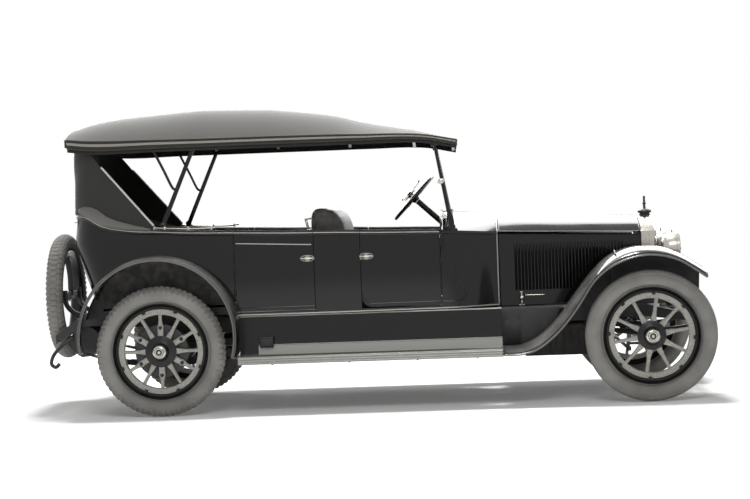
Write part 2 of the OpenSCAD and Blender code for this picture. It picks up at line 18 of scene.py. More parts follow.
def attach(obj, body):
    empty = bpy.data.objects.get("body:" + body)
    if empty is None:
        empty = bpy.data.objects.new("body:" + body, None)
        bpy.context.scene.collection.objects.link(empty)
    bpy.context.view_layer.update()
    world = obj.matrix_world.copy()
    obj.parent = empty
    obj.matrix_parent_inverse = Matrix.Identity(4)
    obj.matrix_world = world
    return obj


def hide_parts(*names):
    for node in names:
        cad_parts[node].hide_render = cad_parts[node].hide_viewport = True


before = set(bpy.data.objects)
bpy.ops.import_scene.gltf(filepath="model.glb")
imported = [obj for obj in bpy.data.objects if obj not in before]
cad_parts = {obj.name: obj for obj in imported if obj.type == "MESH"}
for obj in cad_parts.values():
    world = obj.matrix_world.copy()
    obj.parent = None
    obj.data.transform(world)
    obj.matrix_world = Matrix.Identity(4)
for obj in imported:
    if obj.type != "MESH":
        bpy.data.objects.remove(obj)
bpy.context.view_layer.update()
LOG = logging.getLogger("touring_car")
CAR = "car"
UP = (0.0, 0.0, 1.0)
Tree, Node, Socket = bpy.types.NodeTree, bpy.types.Node, bpy.types.NodeSocket
Colour = str | Socket


class Side(Enum):
    """A side of the car, with the sign of its y."""

    RIGHT = -1
    LEFT = 1

    @property
    def word(self) -> str:
        """The side's name in node names."""
        return self.name.lower()


# ---------------------------------------------------------------- shapes


def smooth(x: np.ndarray, table: Sequence[Sequence[float]], column: int = 1) -> np.ndarray:
    """Cubic Hermite curve through a table's rows, with slopes averaged from both neighbours.

    Args:
        x: where to read the curve.
        table: rows that start with x, in rising order.
        column: the row's value to read.

    Returns:
        The value at each x, held constant past the ends.
    """
    rows = np.asarray(table, float)
    xs, ys = rows[:, 0], rows[:, column]
    rise = np.diff(ys) / np.diff(xs)
    slope = np.concatenate([rise[:1], (rise[1:] + rise[:-1]) / 2, rise[-1:]])
    x = np.clip(x, xs[0], xs[-1])
    i = np.clip(np.searchsorted(xs, x, side="right") - 1, 0, len(xs) - 2)
    h = xs[i + 1] - xs[i]
    s = (x - xs[i]) / h
    return (
        (2 * s**3 - 3 * s**2 + 1) * ys[i] + (s**3 - 2 * s**2 + s) * h * slope[i]
        + (3 * s**2 - 2 * s**3) * ys[i + 1] + (s**3 - s**2) * h * slope[i + 1])


@dataclass
class Form:
    """Points and quads that will be part of a mesh; every quad has a finish number."""

    points: np.ndarray
    quads: np.ndarray
    finish: int = 0

    def moved(self, offset: Sequence[float]) -> "Form":
        """The form shifted by an offset."""
        return Form(self.points + np.asarray(offset, float), self.quads, self.finish)

    def turned(self, matrix: np.ndarray) -> "Form":
        """The form under a 4 by 4 matrix; a mirror keeps its faces outwards."""
        flat = self.points @ matrix[:3, :3].T + matrix[:3, 3]
        quads = self.quads[:, ::-1] if np.linalg.det(matrix[:3, :3]) < 0 else self.quads
        return Form(flat, quads, self.finish)

    def stood(self, at: Sequence[float], towards: Sequence[float] = (0.0, 0.0, 1.0)) -> "Form":
        """A z-up form stood at a point, pointing a given way."""
        return self.turned(place(at, towards))

    def mirrored(self) -> "Form":
        """The form on the car's other side."""
        return self.turned(np.diag([1.0, -1.0, 1.0, 1.0]))

    def on(self, side: Side) -> "Form":
        """A right-hand form put on the given side."""
        return self if side is Side.RIGHT else self.mirrored()

    def painted(self, finish: int) -> "Form":
        """The form with another finish number."""
        return Form(self.points, self.quads, finish)


def grid(points: np.ndarray, wrap_rows: bool = False, wrap_columns: bool = False, flip: bool = False) -> Form:
    """Quads over a rows by columns array of points.

    Args:
        points: array of rows, columns, 3.
        wrap_rows: join the last row to the first.
        wrap_columns: join the last column to the first.
        flip: turn every face over.

    Returns:
        The surface; its faces look along the row direction crossed with the column direction.
    """
    m, n = points.shape[:2]
    i, j = np.meshgrid(np.arange(m - (not wrap_rows)), np.arange(n - (not wrap_columns)), indexing="ij")
    a, b = i * n + j, (i + 1) % m * n + j
    c, d = (i + 1) % m * n + (j + 1) % n, i * n + (j + 1) % n
    quads = np.stack([a, b, c, d], axis=-1).reshape(-1, 4)
    return Form(points.reshape(-1, 3), quads[:, ::-1] if flip else quads)


def joined(*forms: Form) -> list[Form]:
    """Forms and lists of forms as one flat list."""
    flat: list[Form] = []
    for form in forms:
        flat.extend(form if isinstance(form, list) else [form])
    return flat


def xyz(x: np.ndarray | float, y: np.ndarray | float, z: np.ndarray | float) -> np.ndarray:
    """Points from their coordinates, each an array or one value for all."""
    return np.stack(np.broadcast_arrays(x, y, z), axis=-1)


def shell(outer: np.ndarray, inner: np.ndarray, finish: int = 0) -> Form:
    """Closed wall between two grids of the same size: both faces and the rim between their edges."""
    m, n = outer.shape[:2]
    top, bottom = grid(outer), grid(inner, flip=True)
    loop = np.concatenate([
        np.arange(n), np.arange(1, m) * n + n - 1, (m - 1) * n + np.arange(n - 2, -1, -1),
        np.arange(m - 2, 0, -1) * n])
    after = np.roll(loop, -1)
    rim = np.stack([loop, after, after + m * n, loop + m * n], axis=-1)
    return Form(np.concatenate([top.points, bottom.points]),
                np.concatenate([top.quads, bottom.quads + m * n, rim]), finish)


def basis(towards: Sequence[float]) -> np.ndarray:
    """A turn whose third axis points the given way."""
    w = np.asarray(towards, float) / np.linalg.norm(towards)
    u = np.cross((0.0, 1.0, 0.0) if abs(w[1]) < 0.9 else (1.0, 0.0, 0.0), w)
    u /= np.linalg.norm(u)
    return np.stack([u, np.cross(w, u), w], axis=1)


def place(at: Sequence[float], towards: Sequence[float] = UP, spin: float = 0.0,
          size: float = 1.0) -> np.ndarray:
    """Matrix that stands a z-up form at a point, pointing a given way.

    Args:
        at: where the form's origin goes.
        towards: where its z axis points.
        spin: turn about that axis, radians.
        size: uniform scale.

    Returns:
        The 4 by 4 matrix.
    """
    c, s = math.cos(spin), math.sin(spin)
    m = np.eye(4)
    m[:3, :3] = basis(towards) @ np.array([[c, -s, 0], [s, c, 0], [0, 0, 1]]) * size
    m[:3, 3] = at
    return m


def lathe(profile: Sequence[Sequence[float]], count: int = 48, finish: int = 0, loop: bool = False) -> Form:
    """A profile of radius and height turned about z; radius zero at an end closes it there.

    Args:
        profile: rows of radius, height, running so that the solid is on the left.
        count: steps round the turn.
        finish: finish number.
        loop: join the profile's last point to its first.

    Returns:
        The turned surface.
    """
    rows = np.asarray(profile, float)
    a = np.linspace(0, 2 * math.pi, count, endpoint=False)
    ring = xyz(rows[:, None, 0] * np.cos(a), rows[:, None, 0] * np.sin(a),
               np.repeat(rows[:, 1:2], count, axis=1))
    return grid(ring, wrap_rows=loop, wrap_columns=True, flip=True).painted(finish)


def sweep(path: np.ndarray, profile: np.ndarray, ref: Sequence[float] = UP, closed: bool = False,
          scale: Optional[np.ndarray] = None, finish: int = 0) -> Form:
    """A closed profile carried along a path, square to it.

    Args:
        path: points of the path.
        profile: rows of side, up offsets, counter-clockwise.
        ref: direction that the profile's up stays near.
        closed: the path joins its own start.
        scale: size of the profile at each path point.
        finish: finish number.

    Returns:
        A closed tube-like form; each end is a fan of faces to the path's end point.
    """
    path, profile = np.asarray(path, float), np.asarray(profile, float)
    t = np.roll(path, -1, 0) - np.roll(path, 1, 0) if closed else np.gradient(path, axis=0)
    t /= np.linalg.norm(t, axis=1, keepdims=True)
    side = np.cross(t, ref)
    side /= np.linalg.norm(side, axis=1, keepdims=True)
    up = np.cross(side, t)
    k = np.ones(len(path)) if scale is None else np.asarray(scale, float)
    rings = path[:, None] + k[:, None, None] * (
        profile[None, :, :1] * side[:, None] + profile[None, :, 1:2] * up[:, None])
    if not closed:
        ends = [np.repeat(path[e][None, None], len(profile), axis=1) for e in (0, -1)]
        rings = np.concatenate([ends[0], rings, ends[1]])
    return grid(rings, wrap_rows=closed, wrap_columns=True).painted(finish)


def ring_profile(radius: float, sides: int = 12, squash: float = 1.0) -> np.ndarray:
    """Round or oval profile for a sweep."""
    a = np.linspace(0, 2 * math.pi, sides, endpoint=False)
    return np.stack([radius * np.cos(a), radius * squash * np.sin(a)], axis=-1)


def bar_profile(width: float, height: float, radius: float = 0.002) -> np.ndarray:
    """Flat bar's profile with rounded corners, each corner an arc of three points."""
    a = np.radians(np.array([0, 45, 90]))
    quarter = np.stack([np.cos(a), np.sin(a)], axis=-1) * radius
    centre = np.array([width / 2 - radius, height / 2 - radius])
    turns = [np.array([[c, -s], [s, c]]) for c, s in ((1, 0), (0, 1), (-1, 0), (0, -1))]
    signs = np.array([[1, 1], [-1, 1], [-1, -1], [1, -1]])
    return np.concatenate([quarter @ turn.T + centre * sign for turn, sign in zip(turns, signs)])


def tube(points: Sequence[Sequence[float]], radius: float, sides: int = 12, finish: int = 0,
         ref: Optional[Sequence[float]] = None) -> Form:
    """Round rod through points."""
    path = np.asarray(points, float)
    if ref is None:
        ref = np.eye(3)[np.argmin(np.abs(path[-1] - path[0]))]
    return sweep(path, ring_profile(radius, sides), ref, finish=finish)


def bent(points: Sequence[Sequence[float]], steps: int = 8) -> np.ndarray:
    """Smooth path through points: Catmull-Rom pieces, each cut into equal steps."""
    p = np.asarray(points, float)
    p = np.concatenate([2 * p[:1] - p[1:2], p, 2 * p[-1:] - p[-2:-1]])
    s = np.linspace(0, 1, steps, endpoint=False)[:, None, None]
    a, b, c, d = p[:-3], p[1:-2], p[2:-1], p[3:]
    curve = 0.5 * (2 * b + (c - a) * s + (2 * a - 5 * b + 4 * c - d) * s**2 + (3 * b - a - 3 * c + d) * s**3)
    return np.concatenate([curve.transpose(1, 0, 2).reshape(-1, 3), p[-2:-1]])


def rounded_box(low: Sequence[float], high: Sequence[float], radius: float, finish: int = 0) -> Form:
    """Box with round edges: each point of a small sphere, moved out to the box's nearest corner."""
    low, high = np.asarray(low, float), np.asarray(high, float)
    steps = np.radians([0, 30, 60, 90])
    turn = np.concatenate([steps + q * math.pi / 2 for q in range(4)])
    sx = np.repeat([1, -1, -1, 1], 4)
    sy = np.repeat([1, 1, -1, -1], 4)
    rise = np.concatenate([steps - math.pi / 2, steps])
    sz = np.repeat([-1, 1], 4)
    half = (high - low) / 2 - radius
    r, t = rise[:, None], turn[None, :]
    rings = xyz(radius * np.cos(r) * np.cos(t) + sx * half[0], radius * np.cos(r) * np.sin(t) + sy * half[1],
                radius * np.sin(r) + (sz * half[2])[:, None])
    ends = [np.zeros((1, 16, 3)) + [0, 0, z] for z in (-half[2] - radius, half[2] + radius)]
    return grid(np.concatenate([ends[0], rings, ends[1]]) + (low + high) / 2, wrap_columns=True,
                flip=True).painted(finish)


def copies(form: Form, matrices: np.ndarray) -> Form:
    """One form repeated under each of a stack of 4 by 4 matrices, as whole arrays."""
    k, n = len(matrices), len(form.points)
    points = np.einsum("kab,nb->kna", matrices[:, :3, :3], form.points) + matrices[:, None, :3, 3]
    quads = form.quads[None] + (np.arange(k) * n)[:, None, None]
    return Form(points.reshape(-1, 3), quads.reshape(-1, 4), form.finish)


def round_z(count: int, start: float = 0.0, radius: float = 0.0) -> np.ndarray:
    """Matrices for pieces set evenly round z, at a radius, the first at angle start (radians)."""
    a = start + np.arange(count) * 2 * math.pi / count
    m = np.tile(np.eye(4), (count, 1, 1))
    m[:, 0, 0], m[:, 0, 1], m[:, 1, 0], m[:, 1, 1] = np.cos(a), -np.sin(a), np.sin(a), np.cos(a)
    m[:, 0, 3], m[:, 1, 3] = radius * np.cos(a), radius * np.sin(a)
    return m


def bolt(radius: float = 0.006, height: float = 0.005, finish: int = 0) -> Form:
    """Hexagon bolt head with a chamfered top, standing on z = 0."""
    return lathe([(0, 0), (radius, 0), (radius, height * 0.7), (radius * 0.8, height), (0, height)], 6,
                 finish)


def dome(radius: float, height: float, finish: int = 0, count: int = 16) -> Form:
    """Round rivet or knob top: a quarter ellipse turned about z."""
    a = np.radians(np.linspace(0, 90, 6))
    rows = [(0.0, 0.0), *zip(radius * np.cos(a), height * np.sin(a))]
    return lathe(rows, count, finish)


def bolts_at(places: Sequence[Sequence[float]], towards: Sequence[float], radius: float = 0.006,
             height: float = 0.005, finish: int = 0) -> Form:
    """Bolt heads at points, all facing one way."""
    return copies(bolt(radius, height, finish), np.stack([place(p, towards) for p in places]))


# ---------------------------------------------------------------- finishes


def linear(hexed: str) -> tuple[float, float, float, float]:
    """An sRGB hex colour as linear light."""
    srgb = [int(hexed[i:i + 2], 16) / 255 for i in (1, 3, 5)]
    return (*[c / 12.92 if c <= 0.04045 else ((c + 0.055) / 1.055) ** 2.4 for c in srgb], 1.0)


def add(tree: Tree, kind: str, settings: Optional[dict] = None, links: Optional[dict] = None) -> Node:
    """Adds a node with its settings and links.

    Args:
        tree: the node tree.
        kind: the node's type name without its ShaderNode prefix.
        settings: attribute or input names (or input numbers) and their values.
        links: input names or numbers and the sockets that feed them.

    Returns:
        The new node.
    """
    node = tree.nodes.new("ShaderNode" + kind)
    for key, value in (settings or {}).items():
        if isinstance(key, int) or key in node.inputs:
            node.inputs[key].default_value = value
        else:
            setattr(node, key, value)
    for key, socket in (links or {}).items():
        tree.links.new(socket, node.inputs[key])
    return node


def ramp(tree: Tree, value: Socket, low: float, high: float,
         to_low: float = 0.0, to_high: float = 1.0) -> Socket:
    """A value's span mapped onto another span, clamped."""
    return add(tree, "MapRange", {1: low, 2: high, 3: to_low, 4: to_high}, {0: value}).outputs[0]


def blend_colour(tree: Tree, amount: Socket, first: Colour, second: Colour) -> Socket:
    """Mix of two colours, each a hex string or a socket."""
    node = add(tree, "Mix", {"data_type": "RGBA"}, {0: amount})
    for number, colour in ((6, first), (7, second)):
        if isinstance(colour, str):
            node.inputs[number].default_value = linear(colour)
        else:
            tree.links.new(colour, node.inputs[number])
    return node.outputs[2]


def to_eye(tree: Tree) -> Socket:
    """1 for rays from the eye, in reflections and through glass; 0 for those that only carry light."""
    path = add(tree, "LightPath").outputs
    seen = path["Is Camera Ray"]
    for other in ("Is Glossy Ray", "Is Transmission Ray"):
        seen = add(tree, "Math", {"operation": "MAXIMUM"}, {0: seen, 1: path[other]}).outputs[0]
    return seen


@dataclass(frozen=True)
class Finish:
    """A surface finish: a plain coat of one colour, made once and shared."""

    name: str
    colour: str
    roughness: float = 0.4
    metallic: float = 0.0
    ior: float = 1.5

    def material(self) -> bpy.types.Material:
        """The finish's material, built the first time it is asked for."""
        made = bpy.data.materials.get(self.name)
        if made:
            return made
        made = bpy.data.materials.new(self.name)
        made.use_nodes = True
        tree = made.node_tree
        shader = tree.nodes["Principled BSDF"]
        shader.inputs["Base Color"].default_value = linear(self.colour)
        shader.inputs["Roughness"].default_value = self.roughness
        shader.inputs["Metallic"].default_value = self.metallic
        if not self.metallic:
            shader.inputs["IOR"].default_value = self.ior
        coords = add(tree, "TexCoord").outputs["Object"]
        self.dress(tree, shader, coords)
        return made

    def dress(self, tree: Tree, shader: Node, coords: Socket) -> None:
        """Adds the finish's pattern; the plain coat has only faint mottling."""
        self.mottle(tree, shader, coords, 30.0, 0.06)

    def noise(self, tree: Tree, coords: Socket, size: float, detail: float = 4.0,
              stretch: Sequence[float] = (1, 1, 1)) -> Socket:
        """Noise with features about 1/size metres across, stretched per axis."""
        mapped = add(tree, "Mapping", {"Scale": tuple(stretch)}, {0: coords}).outputs[0]
        return add(tree, "TexNoise", {"Scale": size, "Detail": detail}, {"Vector": mapped}).outputs[0]

    def mottle(self, tree: Tree, shader: Node, coords: Socket, size: float,
               spread: float) -> Socket:
        """Varies the roughness round its value by noise; returns the noise."""
        value = self.noise(tree, coords, size)
        tree.links.new(ramp(tree, value, 0.3, 0.7, max(0.02, self.roughness - spread),
                            self.roughness + spread), shader.inputs["Roughness"])
        return value

    def bump(self, tree: Tree, shader: Node, height: Socket, strength: float,
             distance: float) -> None:
        """Raises the surface by a height pattern of the given depth in metres."""
        node = add(tree, "Bump", {"Strength": strength, "Distance": distance}, {"Height": height})
        tree.links.new(node.outputs[0], shader.inputs["Normal"])


@dataclass(frozen=True)
class Enamel(Finish):
    """Baked gloss enamel, brushed out by hand: deep black with a wet shine; what faces up turns lighter, as
    dust and, on the fenders and beads, as a painted sheen.
    """

    ior: float = 1.38
    dust_and_sheen: str = "#6d6b67"
    dust_and_sheen_amount: float = 0.07
    dust_and_sheen_from: float = 0.2

    def dress(self, tree: Tree, shader: Node, coords: Socket) -> None:
        """Lightening by how far the face looks up, dust and painted sheen together, and long soft waves in
        the shine.
        """
        value = self.mottle(tree, shader, coords, 4.0, 0.03)
        facing = add(tree, "SeparateXYZ", links={0: add(tree, "NewGeometry").outputs["Normal"]}).outputs[2]
        # lighter colour on faces that look up: dust, and where the amount is large a painted sheen
        lying = ramp(tree, facing, self.dust_and_sheen_from, self.dust_and_sheen_from + 0.7, 0.0, self.dust_and_sheen_amount)
        patch = add(tree, "Math", {"operation": "MULTIPLY"},
                    {0: lying, 1: ramp(tree, value, 0.35, 0.65, 0.4, 1.0)})
        tree.links.new(blend_colour(tree, patch.outputs[0], self.colour, self.dust_and_sheen),
                       shader.inputs["Base Color"])
        wave = self.noise(tree, coords, 7.0, 1.0)
        self.bump(tree, shader, wave, 0.15, 0.0010)


@dataclass(frozen=True)
class Plate(Finish):
    """Nickel plate, polished by hand: a warm grey mirror with fine rubbing marks and dull patches."""

    def dress(self, tree: Tree, shader: Node, coords: Socket) -> None:
        """Streaks of roughness and a thin tarnish."""
        value = self.mottle(tree, shader, coords, 60.0, 0.06)
        tarnish = ramp(tree, value, 0.4, 0.75, 0.0, 0.35)
        tree.links.new(blend_colour(tree, tarnish, self.colour, "#8d8a83"), shader.inputs["Base Color"])
        self.bump(tree, shader, self.noise(tree, coords, 400.0, 2.0, (1, 0.1, 1)), 0.08, 0.0002)


@dataclass(frozen=True)
class Rubber(Finish):
    """Old unblackened tyre rubber: chalky grey, scuffed, darker where the road rubs it."""

    dark: str = "#747370"

    def dress(self, tree: Tree, shader: Node, coords: Socket) -> None:
        """Cloudy chalk, fine grit and a dull bloom."""
        cloud = self.noise(tree, coords, 5.0, 4.0)
        grit = self.noise(tree, coords, 260.0, 3.0)
        both = add(tree, "Math", {"operation": "MULTIPLY_ADD", 1: 0.35}, {0: grit, 2: cloud}).outputs[0]
        tree.links.new(blend_colour(tree, ramp(tree, both, 0.45, 0.95), self.dark, self.colour),
                       shader.inputs["Base Color"])
        self.bump(tree, shader, grit, 0.35, 0.0008)


@dataclass(frozen=True)
class PaintedWood(Finish):
    """Hickory under thin pale paint: the grain stands a little through the coat."""

    dark: str = "#8b8983"
    along: tuple = (1.0, 1.0, 1.0)

    def dress(self, tree: Tree, shader: Node, coords: Socket) -> None:
        """Grain streaks about 3 mm wide and scuffs in the paint."""
        grain = self.noise(tree, coords, 70.0, 6.0, self.along)
        tree.links.new(blend_colour(tree, ramp(tree, grain, 0.35, 0.75), self.dark, self.colour),
                       shader.inputs["Base Color"])
        self.bump(tree, shader, grain, 0.3, 0.0006)


@dataclass(frozen=True)
class Twill(Finish):
    """Rubberised twill top cloth: a fine diagonal weave, sun-bleached where it faces the sky; on the belt
    roll that lightening is a painted highlight.
    """

    bleach_and_highlight: str = "#454441"
    pitch: float = 0.006  # coarser than the real 1 mm rib, so that it shows

    def dress(self, tree: Tree, shader: Node, coords: Socket) -> None:
        """Diagonal ribs by a wave, lightening by facing (sun-bleach, and on the belt roll a painted
        highlight), and soft stains.
        """
        shader.inputs["Sheen Weight"].default_value = 0.12
        shader.inputs["Sheen Roughness"].default_value = 0.5
        stain = self.noise(tree, coords, 2.2, 6.0, (0.5, 1, 1))
        facing = add(tree, "SeparateXYZ", links={0: add(tree, "NewGeometry").outputs["Normal"]}).outputs[2]
        # lightening by facing: sun-bleach on the top, a painted highlight on the belt roll
        sun = add(tree, "Math", {"operation": "MULTIPLY_ADD", 1: 0.45},
                  {0: ramp(tree, facing, 0.1, 0.95), 2: ramp(tree, stain, 0.3, 0.7, 0.0, 0.35)})
        tree.links.new(blend_colour(tree, sun.outputs[0], self.colour, self.bleach_and_highlight),
                       shader.inputs["Base Color"])
        slanted = add(tree, "Mapping", {"Rotation": (0.6, 0.4, math.pi / 4)}, {0: coords}).outputs[0]
        rib = add(tree, "TexWave", {"Scale": 0.31 / self.pitch, "Distortion": 0.6},
                  {"Vector": slanted}).outputs[1]
        self.bump(tree, shader, rib, 0.35, 0.0006)


@dataclass(frozen=True)
class Hide(Finish):
    """Buffed upholstery leather: dark, softly shining, with pebbled grain and rubbed crowns."""

    rubbed: str = "#5a5753"

    def dress(self, tree: Tree, shader: Node, coords: Socket) -> None:
        """Cells 3 mm across for the grain, long creases and rubbed patches."""
        cells = add(tree, "TexVoronoi", {"Scale": 320.0, "feature": "DISTANCE_TO_EDGE"},
                    {"Vector": coords}).outputs[0]
        crease = self.noise(tree, coords, 14.0, 8.0, (1, 2.5, 1))
        tree.links.new(blend_colour(tree, ramp(tree, crease, 0.4, 0.75, 0.0, 0.8), self.colour, self.rubbed),
                       shader.inputs["Base Color"])
        both = add(tree, "Math", {"operation": "MULTIPLY_ADD", 1: 0.5},
                   {0: ramp(tree, cells, 0.0, 0.25), 2: crease})
        self.bump(tree, shader, both.outputs[0], 0.7, 0.0030)


@dataclass(frozen=True)
class Timber(Finish):
    """Varnished hardwood: long grain under an even, slightly worn gloss."""

    dark: str = "#3a2b1f"
    along: tuple = (0.15, 1.0, 1.0)

    def dress(self, tree: Tree, shader: Node, coords: Socket) -> None:
        """Grain lines 4 mm apart along the piece."""
        shader.inputs["Coat Weight"].default_value = 0.4
        grain = self.noise(tree, coords, 90.0, 8.0, self.along)
        tree.links.new(blend_colour(tree, ramp(tree, grain, 0.35, 0.7), self.dark, self.colour),
                       shader.inputs["Base Color"])
        self.bump(tree, shader, grain, 0.2, 0.0005)


@dataclass(frozen=True)
class Cast(Finish):
    """Sand-cast or rolled iron under thin black paint: a rough, oily skin."""

    def dress(self, tree: Tree, shader: Node, coords: Socket) -> None:
        """Sand grain 2 mm across and patches of road dirt."""
        dirt = self.mottle(tree, shader, coords, 12.0, 0.15)
        tree.links.new(blend_colour(tree, ramp(tree, dirt, 0.5, 0.8, 0.0, 0.7), self.colour, "#3c3b39"),
                       shader.inputs["Base Color"])
        self.bump(tree, shader, self.noise(tree, coords, 500.0, 3.0), 0.3, 0.0006)


@dataclass(frozen=True)
class Glass(Finish):
    """Polished plate glass: clear, a little green at depth."""

    def dress(self, tree: Tree, shader: Node, coords: Socket) -> None:
        """Clear transmission; faint waves from grinding."""
        shader.inputs["Transmission Weight"].default_value = 1.0
        self.bump(tree, shader, self.noise(tree, coords, 6.0, 1.0), 0.05, 0.0004)


@dataclass(frozen=True)
class Paper(Finish):
    """Matt white backdrop paper: it takes a shadow near the car and fades to plain white farther off."""

    near: float = 4.5
    far: float = 8.5

    def dress(self, tree: Tree, shader: Node, coords: Socket) -> None:
        """Adds a glow seen only by the eye and in reflections: faint near the car, full white far off."""
        seen = to_eye(tree)
        radius = add(tree, "VectorMath", {"operation": "LENGTH"}, {0: coords}).outputs["Value"]
        away = ramp(tree, radius, self.near, self.far)
        glow = add(tree, "Math", {"operation": "MULTIPLY"},
                   {0: seen, 1: ramp(tree, away, 0.0, 1.0, 0.10, 1.0)})
        tree.links.new(glow.outputs[0], shader.inputs["Emission Strength"])
        tree.links.new(blend_colour(tree, away, self.colour, "#101010"), shader.inputs["Base Color"])
        shader.inputs["Emission Color"].default_value = linear("#ffffff")
        shader.inputs["Specular IOR Level"].default_value = 0.0


BLACK = Enamel("gloss_enamel", "#0c0c0e", 0.11)
APRON = Enamel("apron_enamel", "#101012", 0.22, dust_and_sheen_amount=0.15)
# fender crowns: the large lightening, starting low, is mostly a painted sheen from the light, with some dust
FENDER = Enamel("fender_enamel", "#0c0c0e", 0.13, dust_and_sheen="#a19f9a", dust_and_sheen_amount=0.42, dust_and_sheen_from=0.0)
# grey fender edge beads: a painted highlight on the rolled edges, with dust
BEAD_HIGHLIGHT = Enamel("bead_painted_highlight", "#62615e", 0.2, dust_and_sheen="#a19f9a", dust_and_sheen_amount=0.3)
UNDER = Cast("chassis_enamel", "#161617", 0.5)
IRON = Cast("cast_iron", "#2b2b2a", 0.6, 0.3)
RUSTED = Cast("oxidised_steel", "#3b3633", 0.65, 0.5)
NICKEL = Plate("nickel_plate", "#b3b0a8", 0.22, 1.0)
BRIGHT = Plate("polished_aluminium", "#868683", 0.40, 1.0)
# light paint on the beads: a coach line, and also a painted highlight of the rounded bead
STRIPE_AND_HIGHLIGHT = Finish("moulding_paint_and_highlight", "#bdbbb4", 0.35)
TYRE = Rubber("grey_tyre_rubber", "#908e89", 0.88)
RIM = Enamel("rim_enamel", "#101011", 0.3, dust_and_sheen_amount=0.03)
SPOKE = PaintedWood("painted_hickory", "#aaa8a1", 0.42)
CLOTH = Twill("top_twill", "#34332f", 0.85)
CURTAIN = Twill("curtain_twill", "#282726", 0.85, bleach_and_highlight="#383735")
LINING = Twill("top_lining", "#232220", 0.9, bleach_and_highlight="#2b2a28")
HEM = Twill("hem_binding", "#9b988f", 0.75, bleach_and_highlight="#a9a69d")
# light grey belt roll, lighter where it faces up: a painted highlight of a glossy shoulder
ROLL_HIGHLIGHT = Twill("belt_roll_painted_highlight", "#6a6966", 0.8, bleach_and_highlight="#85837e")
PIPING = Finish("piping_cord", "#d8d6cf", 0.6)
LEATHER = Hide("seat_hide", "#2c2a28", 0.42)
TRIM = Hide("trim_hide", "#242322", 0.55)
ASH = Timber("varnished_ash", "#8a7a60", 0.4, dark="#5e4f3b")
WALNUT = Timber("varnished_walnut", "#4a2f1e", 0.3, dark="#26170f")
STRIP = Finish("rubber_strip", "#1c1c1b", 0.7)
MAT = Finish("board_linoleum", "#56554f", 0.8)
PAPER = Paper("backdrop_paper", "#fbfbfa", 0.9)
GLASS = Glass("plate_glass", "#f4f7f6", 0.02)
DIAL = Finish("dial_enamel", "#cfcdc4", 0.35)


def piece(name: str, forms: Sequence[Form], finishes: Sequence[Finish], body: str,
          replaces: Sequence[str] = (), sharp: float = 32.0, bevel: float = 0.0) -> bpy.types.Object:
    """Puts forms into one mesh object, welds its seams, dresses it and ties it to its body.

    Args:
        name: the object's name.
        forms: what the mesh is made of; each form's finish number picks from finishes.
        finishes: the finishes.
        body: the moving body that carries it.
        replaces: CAD nodes that it stands for.
        sharp: edges that turn more than this many degrees stay crisp.
        bevel: width of a rounding on the sharp edges, metres.

    Returns:
        The new object.
    """
    starts = np.cumsum([0] + [len(f.points) for f in forms])
    points = np.concatenate([f.points for f in forms])
    quads = np.concatenate([f.quads + s for f, s in zip(forms, starts)])
    numbers = np.concatenate([np.full(len(f.quads), f.finish) for f in forms])
    mesh = bpy.data.meshes.new(name)
    mesh.from_pydata(points, [], quads)
    mesh.polygons.foreach_set("material_index", numbers.astype(np.int32))
    made = bmesh.new()
    made.from_mesh(mesh)
    bmesh.ops.remove_doubles(made, verts=made.verts, dist=1e-5)
    bmesh.ops.dissolve_degenerate(made, edges=made.edges, dist=1e-6)
    made.to_mesh(mesh)
    made.free()
    mesh.shade_smooth()
    mesh.set_sharp_from_angle(angle=math.radians(sharp))
    obj = bpy.data.objects.new(name, mesh)
    bpy.context.scene.collection.objects.link(obj)
    for finish in finishes:
        mesh.materials.append(finish.material())
    if bevel:
        rounding = obj.modifiers.new("rounding", "BEVEL")
        rounding.width, rounding.segments = bevel, 2
        rounding.limit_method, rounding.angle_limit = "ANGLE", math.radians(50)
        rounding.harden_normals = False
    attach(obj, body)
    if replaces:
        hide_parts(*replaces)
    LOG.info("%s: %d faces", name, len(mesh.polygons))
    return obj


# ---------------------------------------------------------------- the car's lines


